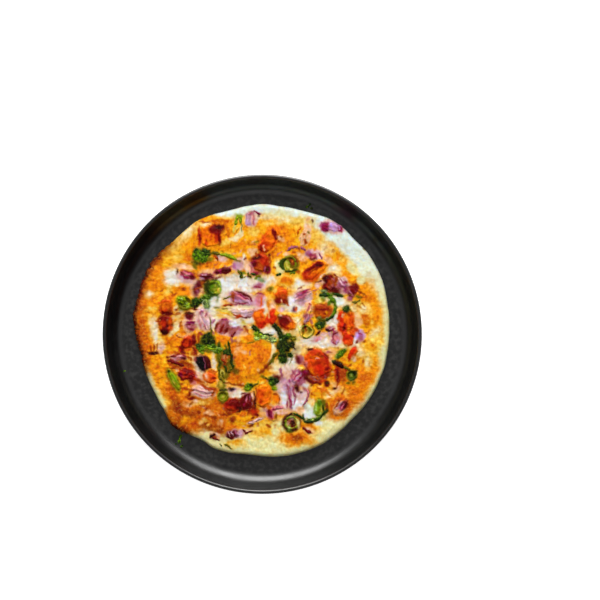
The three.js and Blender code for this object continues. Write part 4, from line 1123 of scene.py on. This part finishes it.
def plate_floor(x, y):
    """Height of the plate's floor and the start of its cove."""
    climb = np.clip(np.hypot(x, y) - COVE_START, 0, COVE_RADIUS - 1)
    return PLATE_FLOOR + COVE_RADIUS - np.sqrt(COVE_RADIUS**2 - climb**2)


# ---- cut pieces

END_REACH = 0.985  # how near to a piece's two ends its first and last rows of points come
SIDE_REACH = 0.93  # how closely its points crowd together towards its sides, up to 1


def eased_steps(count, reach):
    """Steps from -1 to 1 that are closer together near both ends."""
    return np.sin(np.linspace(-math.pi / 2, math.pi / 2, count) * reach)


def piece_grid(loop, spacing):
    """Points over the inside of a loop in rows along its length, with (along, across) in -1 to 1."""
    middle = loop.mean(0)
    offset = loop - middle
    long_axis = np.linalg.eigh(offset.T @ offset)[1][:, 1]
    long_axis = long_axis if long_axis[0] > 0 else -long_axis
    side_axis = np.array([-long_axis[1], long_axis[0]])
    u, v = offset @ long_axis, offset @ side_axis
    bend = np.polyfit(u, v, 2)
    v = v - np.polyval(bend, u)

    length = u.max() - u.min()
    rows = max(14, int(length / spacing))
    columns = max(10, int(np.abs(v).max() * 2 / spacing) + 4)
    along = eased_steps(rows, END_REACH)
    across = eased_steps(columns, SIDE_REACH) / math.sin(math.pi / 2 * SIDE_REACH)
    us = (u.max() + u.min()) / 2 + along * length / 2

    ends = sorted((int(u.argmin()), int(u.argmax())))
    chains = [np.arange(ends[0], ends[1] + 1), np.r_[np.arange(ends[1], len(u)), np.arange(ends[0] + 1)]]
    sides = []
    for chain in chains:
        order = chain[np.argsort(u[chain], kind="stable")]
        sides.append(np.interp(us, u[order], v[order]))
    low, high = np.minimum(*sides), np.maximum(*sides)
    uu = np.repeat(us[:, None], columns, 1)
    vv = (low + high)[:, None] / 2 + across[None, :] * (high - low)[:, None] / 2 + np.polyval(bend, uu)
    x = middle[0] + uu * long_axis[0] + vv * side_axis[0]
    y = middle[1] + uu * long_axis[1] + vv * side_axis[1]
    return x, y, np.repeat(along[:, None], columns, 1), np.repeat(across[None, :], rows, 0)


class Cut:
    """The grid of points over one cut piece, inside its CAD node's outline."""

    def __init__(self, name, spacing=0.38):
        loop = TOPPINGS[name]["loops"][0]
        self.name = name
        self.seed = seed_of(name)
        self.x, self.y, self.along, self.across = piece_grid(loop, spacing)
        self.depth = inside_distance(self.x, self.y, loop)

    def noise(self, size, octaves, shift=0):
        return fractal(self.x, self.y, size, octaves, self.seed + shift)

    def top(self, height):
        """The piece's top, which comes smoothly up out of the batter to some height above it."""
        start = batter_height(self.x, self.y) + SWELL - 0.1
        return start + 0.14 * smooth(0, 0.35, self.depth) + height * smooth(0, 1.7, self.depth)

    def edge_shade(self, width):
        """Darkens the piece's edge, more in some places than in others."""
        return 1 - 0.16 * smooth(width, 0.1, self.depth) * smooth(-0.5, 0.5, self.noise(5, 2, 9))

    def piece(self, prefix, slot, paint, height, colour, shade, thickness=1.8):
        points, faces, source = closed_sheet(self.x, self.y, self.top(height), thickness)
        stored = as_attribute(colour, shade)[source]
        return new_piece(f"{prefix}_{self.name}", points, faces, paint, slot, [self.name], stored)


def build_tomato(name, paint):
    """A wrinkled dice of tomato."""
    cut = Cut(name, spacing=0.42)
    wrinkle = 0.3 * cut.noise(4.5, 3) + 0.3 * np.abs(cut.noise(7, 2, 5))
    colour, shade = painted(cut.x, cut.y), cut.edge_shade(1.2)
    return cut.piece("diced", "tomato", paint, 0.55 + wrinkle, colour, shade, thickness=2.4)


def build_onion(name, paint):
    """A stack of onion layers seen edge on: ribs along the piece, each a little higher or lower."""
    cut = Cut(name)
    ribs = np.sin(6.5 * cut.across + 0.9 * cut.noise(7, 2) + cut.seed)
    tilt = 0.3 * cut.across * math.cos(cut.seed) + 0.2 * cut.along * math.sin(cut.seed)
    height = 0.42 + 0.16 * ribs + tilt + 0.14 * cut.noise(6, 2, 1)
    shade = cut.edge_shade(0.9) * (1 + 0.14 * ribs)
    return cut.piece("sliced", "onion", paint, height, painted(cut.x, cut.y), shade)


def greener(colour, green):
    """Turns colours that are neither green yet nor scorched dark towards a green."""
    found = colour[..., 1] - 0.5 * (colour[..., 0] + colour[..., 2])
    lit = smooth(0.25, 0.5, colour[..., :3].max(-1))
    return over(colour, green, 0.85 * smooth(0.14, -0.02, found) * lit)


def build_strip(name, paint):
    """A strip of chilli, skin side up."""
    cut = Cut(name)
    height = 0.7 + 0.2 * cut.noise(5, 2)
    colour = greener(painted(cut.x, cut.y), tone("fern"))
    return cut.piece("sliced", "greens", paint, height, colour, cut.edge_shade(0.9))


def build_ring(name, paint):
    """A ring cut across a chilli, skin outside and paler flesh inside."""
    outer, inner = TOPPINGS[name]["loops"][:2]
    seed = seed_of(name)
    middle = outer.mean(0)
    big, small = (np.hypot(*(loop - middle).T).mean() for loop in (outer, inner))
    around, section = 72, 16
    turn = np.linspace(0, math.tau, around, endpoint=False)
    roll = np.linspace(0, math.tau, section, endpoint=False)[:, None]
    ahead, aside = np.cos(turn), np.sin(turn)
    radius = (big + small) / 2 + 0.5 * fractal(4 * ahead, 4 * aside, 4, 2, seed)
    half = (big - small) / 2 * (1 + 0.25 * fractal(5 * ahead, 5 * aside, 4, 2, seed + 1))
    r = radius + half * np.cos(roll)
    x, y = middle[0] + r * ahead, middle[1] + r * aside
    ground = batter_height(middle[0] + radius * ahead, middle[1] + radius * aside)
    z = ground - 0.25 + 0.25 * np.cos(turn + seed) + 0.9 * np.sin(roll)
    green = over(tone("lime"), tone("fern"), (1 + np.cos(roll)) / 2)
    colours = as_attribute(greener(painted(x, y), green))
    faces = grid_faces(section, around, wrap=True, wrap_rows=True)
    return new_piece(f"sliced_{name}", stack(x, y, z).reshape(-1, 3), faces, paint, "greens", [name],
                     colours)


# ---- slivers, stems and leaves

def ribbon(mark, height, number, spacing=0.5):
    """A strip lying along a stroke: its mesh and colours."""
    rows, columns = max(8, int(mark.length / spacing)), 9
    along = np.linspace(-1, 1, rows)[:, None]
    across = eased_steps(columns, 1)[None, :]
    taper = np.clip(1 - along**4, 0.05, 1) * (1 + 0.2 * np.sin(5 * along + number))
    x, y = strayed(*mark.point(along + 0 * across, across * taper))
    profile = np.sqrt(np.clip(1 - across**2, 0, 1)) * taper
    z = batter_height(x, y) - 0.1 + (height + 0.1) * profile
    colour = coat(mark.tone, x)
    mottle = 1 + 0.25 * fractal(x, y, 2.2, 2, 500 + number) - 0.25 * np.abs(across) ** 3
    colour[..., :3] *= mottle[..., None]
    points, faces, source = closed_sheet(x, y, z, 0.8)
    return points, faces, as_attribute(colour)[source]


def leaf(mark, number, ground=batter_height, lift=0.25):
    """A small lobed herb leaf, crumpled: its mesh and colours. lift is how far it lies off the ground."""
    rings, around = 9, 36
    share = np.linspace(0, 1, rings)[:, None]
    turn = np.linspace(0, math.tau, around, endpoint=False)[None, :]
    lobes = 0.82 + 0.16 * np.cos(5 * turn + number) + 0.07 * np.cos(11 * turn + 2 * number)
    x, y = mark.point(share * lobes * np.cos(turn), share * lobes * np.sin(turn))
    crumple = 0.5 + 0.5 * fractal(x, y, 3.0, 2, 700 + number)
    z = ground(x, y) + lift + 0.9 * crumple * (1 - 0.55 * share**2)
    colour = coat(mark.tone, x)
    vein = np.cos(5 * turn + number) * smooth(0.1, 0.5, share)
    mottle = 1 + 0.45 * fractal(x, y, 2.4, 3, 740 + number) + 0.16 * vein - 0.15 * share
    colour[..., :3] *= mottle[..., None]
    glint = smooth(0.1, 0.6, fractal(x, y, 1.8, 2, 780 + number))
    colour = over(colour, tone("sage"), 0.4 * glint)
    points, faces, source = closed_sheet(x, y, z, lift + 0.7, rings=True)
    return points, faces, as_attribute(colour)[source]


def build_small_things(onion_paint, green_paint):
    """The raised markings, which are too small for the CAD, and the crumbs on the bare plate."""
    slivers, stems, leaves, crumbs = Heap(), Heap(), Heap(), Heap()
    for number, mark in enumerate(MARKS):
        if mark.kind == "sliver":
            slivers.add(*ribbon(mark, 0.55, number))
        elif mark.kind == "stem":
            stems.add(*ribbon(mark, 0.5 + 0.2 * mark.width, number))
        elif mark.kind == "leaf":
            leaves.add(*leaf(mark, number))
    for number, mark in enumerate(CRUMBS):
        crumbs.add(*leaf(mark, number, plate_floor, 0.1))
    slivers.piece("onion_slivers", onion_paint, "onion")
    stems.piece("herb_stems", green_paint, "greens")
    leaves.piece("herb_leaves", green_paint, "greens")
    crumbs.piece("herb_crumbs", green_paint, "greens")


# ---- materials

class Paint:
    """Builds one material's nodes. An input's name is its label, or _ and its number."""

    def __init__(self, name):
        self.material = bpy.data.materials.new(name)
        self.material.use_nodes = True
        self.tree = self.material.node_tree
        self.shader = self.tree.nodes["Principled BSDF"]
        self.place = self.add("ShaderNodeTexCoord").outputs["Object"]

    def add(self, kind, **inputs):
        node = self.tree.nodes.new(kind)
        self.fill(node, inputs)
        return node

    def fill(self, node, inputs):
        for key, value in inputs.items():
            target = node.inputs[int(key[1:])] if key[0] == "_" else node.inputs[key]
            if isinstance(value, bpy.types.NodeSocket):
                self.tree.links.new(value, target)
            else:
                target.default_value = value

    def math(self, operation, a, b=0.0):
        node = self.add("ShaderNodeMath", _0=a, _1=b)
        node.operation = operation
        return node.outputs[0]

    def product(self, a, b):
        return self.math("MULTIPLY", a, b)

    def mix(self, share, a, b, blend="MIX"):
        node = self.tree.nodes.new("ShaderNodeMix")
        node.data_type = "RGBA"
        node.blend_type = blend
        self.fill(node, {"_0": share, "_6": a, "_7": b})
        return node.outputs[2]

    def stain(self, share, colour, *tint):
        """A colour, multiplied by a screen tint as far as share says."""
        return self.mix(share, colour, self.mix(1.0, colour, srgb(*tint), "MULTIPLY"))

    def range(self, value, low, high, to_low=0.0, to_high=1.0):
        """to_low at low, to_high at high, with an eased step between."""
        node = self.add("ShaderNodeMapRange", _0=value, _1=low, _2=high, _3=to_low, _4=to_high)
        node.interpolation_type = "SMOOTHSTEP"
        return node.outputs[0]

    def noise(self, size_mm, detail=3.0, roughness=0.55, distortion=0.0):
        """Noise of about that grain, 0 to 1."""
        node = self.add("ShaderNodeTexNoise", Vector=self.place, Scale=1 / (size_mm * MM), Detail=detail,
                        Roughness=roughness, Distortion=distortion)
        return node.outputs["Fac"]

    def painted(self):
        """The colour stored at a piece's points, and how crusty it is there."""
        node = self.tree.nodes.new("ShaderNodeAttribute")
        node.attribute_name = "painted"
        return node.outputs["Color"], node.outputs["Alpha"]

    def bump(self, height, depth_mm, strength, under=None):
        """Relief of that depth, over another bump's."""
        node = self.add("ShaderNodeBump", Height=height, Distance=depth_mm * MM, Strength=strength)
        if under is not None:
            self.fill(node, {"Normal": under})
        return node.outputs[0]

    def finished(self, inputs):
        """The material, once its shader has these inputs."""
        self.fill(self.shader, inputs)
        return self.material


def paint_batter():
    """Griddled batter: its crust is mottled, pitted and rough, and its pale rim smooth and moist."""
    p = Paint("griddled_batter")
    colour, crust = p.painted()
    fine, grain, patch = p.noise(1.5, 4, 0.6, 0.4), p.noise(0.55, 3, 0.6), p.noise(4.2, 4, 0.6, 0.8)
    pores = p.add("ShaderNodeTexVoronoi", Vector=p.place, Scale=1 / (2.3 * MM)).outputs["Distance"]
    browner = p.product(crust, p.range(fine, 0.5, 0.75, 0.0, 0.36))
    colour = p.stain(browner, colour, 226, 170, 80)
    blotch = p.product(crust, p.range(patch, 0.5, 0.78, 0.0, 0.6))
    colour = p.stain(blotch, colour, 232, 184, 96)
    lighter = p.product(crust, p.range(fine, 0.46, 0.28, 0.0, 0.35))
    colour = p.mix(lighter, colour, srgb(252, 204, 90))
    # painted shade: the crust darker in its pits
    dimple = p.product(crust, p.range(pores, 0.3, 0.1, 0.0, 0.18))
    colour = p.stain(dimple, colour, 210, 145, 70)
    steamed = p.product(p.math("SUBTRACT", 1.0, crust), p.range(patch, 0.52, 0.8, 0.0, 0.15))
    colour = p.stain(steamed, colour, 242, 234, 212)
    rough = p.range(crust, 0.1, 0.8, 0.2, 0.55)
    normal = p.bump(grain, 0.16, rough, p.bump(fine, 0.36, rough, p.bump(pores, 0.3, 0.25)))
    return p.finished({
        "Base Color": colour, "Roughness": p.range(p.noise(3.0, 3), 0.3, 0.7, 0.4, 0.6),
        "Normal": normal, "Specular IOR Level": 0.08, "Subsurface Weight": 0.3,
        "Subsurface Radius": (1.0, 0.6, 0.3), "Subsurface Scale": 2 * MM,
    })


def paint_cut(name, light, dark, depth_mm):
    """The moist flesh or skin of a cut piece: fine lighter and darker mottling over its stored colour."""
    p = Paint(name)
    colour, _ = p.painted()
    fine, fibre = p.noise(1.1, 4, 0.6, 0.8), p.noise(2.8, 3, 0.6, 1.2)
    colour = p.stain(p.range(fibre, 0.48, 0.75, 0.0, 0.6), colour, *dark)
    colour = p.mix(p.range(fine, 0.55, 0.8, 0.0, 0.16), colour, srgb(*light))
    return p.finished({
        "Base Color": colour, "Roughness": p.range(fibre, 0.3, 0.75, 0.4, 0.6),
        "Normal": p.bump(fine, depth_mm, 0.6), "Specular IOR Level": 0.07, "Subsurface Weight": 0.12,
        "Subsurface Radius": (1.2, 0.6, 0.4), "Subsurface Scale": 1 * MM,
    })


def paint_plate():
    """Near-black glaze. Its floor is painted a mottled dull grey, a painted sheen that stands in for the
    glaze's uneven reflection there.
    """
    p = Paint("charcoal_glaze")
    cloud, speck, grain = p.noise(38, 4, 0.55), p.noise(1.4, 2, 0.5), p.noise(0.5, 2, 0.6)
    x, y, z = p.add("ShaderNodeSeparateXYZ", Vector=p.place).outputs
    radius = p.math("SQRT", p.math("ADD", p.product(x, x), p.product(y, y)))
    # painted sheen: a mottled grey over the floor, in place of an uneven reflection
    floor_sheen = p.product(p.range(z, 4 * MM, 5 * MM), p.range(radius, 118 * MM, 111 * MM))
    mottle = p.range(p.noise(3.2, 3, 0.5), 0.42, 0.66)
    colour = p.mix(p.range(cloud, 0.35, 0.7), srgb(3, 3, 4), srgb(7, 8, 8))
    colour = p.mix(p.product(floor_sheen, mottle), colour, srgb(45, 45, 44))
    colour = p.mix(p.range(speck, 0.62, 0.78, 0.0, 0.4), colour, srgb(30, 30, 29))
    return p.finished({
        "Base Color": colour, "Roughness": p.range(p.noise(14, 4, 0.6), 0.3, 0.7, 0.3, 0.38),
        "Normal": p.bump(grain, 0.05, 0.3, p.bump(speck, 0.1, 0.25)), "Specular IOR Level": 0.8,
    })


# ---- stage

# The set, in metres: each part's (radius, height) profile and how much light it gives off.
STAGE = {
    "floor": ([(0.0005, 0), (0.3, 0), (1, 0), (3, 0), (8, 0)], 0.9),
    "backdrop": ([(8, 0), (8.6, 0.1), (8.9, 0.4), (9, 0.9), (9, 1.8)], 0.3),
}
WORLD_LIGHT = 0.015

# The lights: name, place and size in metres, and power in watts.
LIGHTS = [
    ("window", (0.0, 1.426, 0.726), (1.4, 1.42), 52),
    ("ceiling", (0.0, 0.0, 1.7), (1.2, 1.2), 0.7),
    ("bounce_east", (0.95, 0.0, 1.35), (1.1, 1.1), 1.8),
    ("bounce_north", (0.0, 0.95, 1.35), (1.1, 1.1), 1.8),
    ("bounce_west", (-0.95, 0.0, 1.35), (1.1, 1.1), 1.8),
    ("bounce_south", (0.0, -0.95, 1.35), (1.1, 1.1), 2.6),
]

SEEN_WIDTH = 0.4873  # metres across the picture, level with the plate's rim
SEEN_MIDDLE = (0.0307, 0.0278)  # the place below the camera


def stage_piece(name, profile, glow):
    """A round part of the set."""
    around = 48
    turn = np.linspace(0, math.tau, around, endpoint=False)
    points = [(r * math.cos(a), r * math.sin(a), z) for r, z in profile for a in turn]
    mesh = bpy.data.meshes.new(name)
    mesh.from_pydata(points, [], grid_faces(len(profile), around, wrap=True))
    mesh.update()
    piece = add_object(name, mesh)
    piece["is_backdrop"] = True
    p = Paint(f"pale_{name}")
    cloudy = p.mix(p.noise(400, 2), srgb(246, 246, 246), srgb(249, 249, 249))
    mesh.materials.append(p.finished({
        "Base Color": cloudy, "Roughness": 0.7, "Specular IOR Level": 0.1,
        "Emission Color": (1, 1, 1, 1), "Emission Strength": glow,
    }))


def build_world():
    """The faint light from everywhere."""
    world = bpy.data.worlds.new("studio")
    world.use_nodes = True
    background = world.node_tree.nodes["Background"]
    background.inputs["Color"].default_value = (1, 1, 1, 1)
    background.inputs["Strength"].default_value = WORLD_LIGHT
    bpy.context.scene.world = world


def add_light(name, place, size, power):
    """A rectangular light that the camera doesn't see, aimed at the dish."""
    light = bpy.data.lights.new(name, "AREA")
    light.shape = "RECTANGLE"
    light.size, light.size_y = size
    light.energy = power
    lamp = add_object(name, light)
    lamp.location = place
    lamp.rotation_euler = (-Vector(place)).to_track_quat("-Z", "Y").to_euler()
    lamp.visible_camera = False


def build_camera():
    """A long lens straight above, as the photograph has it."""
    camera = bpy.data.cameras.new("overhead")
    camera.lens = 100
    camera.sensor_width = 36
    camera.clip_end = 20
    eye = add_object("overhead", camera)
    eye.location = (*SEEN_MIDDLE, PLATE_TOP * MM + SEEN_WIDTH * camera.lens / camera.sensor_width)
    bpy.context.scene.camera = eye


# ---- the dish

scene = bpy.context.scene
scene.view_settings.view_transform = "Standard"
scene.view_settings.look = "None"

tomato_paint = paint_cut("cooked_tomato", (250, 132, 16), (225, 140, 90), 0.35)
onion_paint = paint_cut("softened_onion", (236, 200, 200), (200, 140, 160), 0.25)
green_paint = paint_cut("cooked_greens", (196, 214, 120), (160, 175, 110), 0.2)
build_plate(paint_plate())
build_pancake(paint_batter())
BUILDERS = {
    "tomato": (build_tomato, tomato_paint),
    "onion": (build_onion, onion_paint),
    "chilli_ring": (build_ring, green_paint),
    "chilli_strip": (build_strip, green_paint),
}
for topping_name, topping in TOPPINGS.items():
    build, paint = BUILDERS[topping["kind"]]
    build(topping_name, paint)
build_small_things(onion_paint, green_paint)

for part_name, (profile, glow) in STAGE.items():
    stage_piece(part_name, profile, glow)
build_world()
for light_row in LIGHTS:
    add_light(*light_row)
build_camera()

visual_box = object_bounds()
[[list(corner) for corner in box] for box in (cad_box, visual_box)]
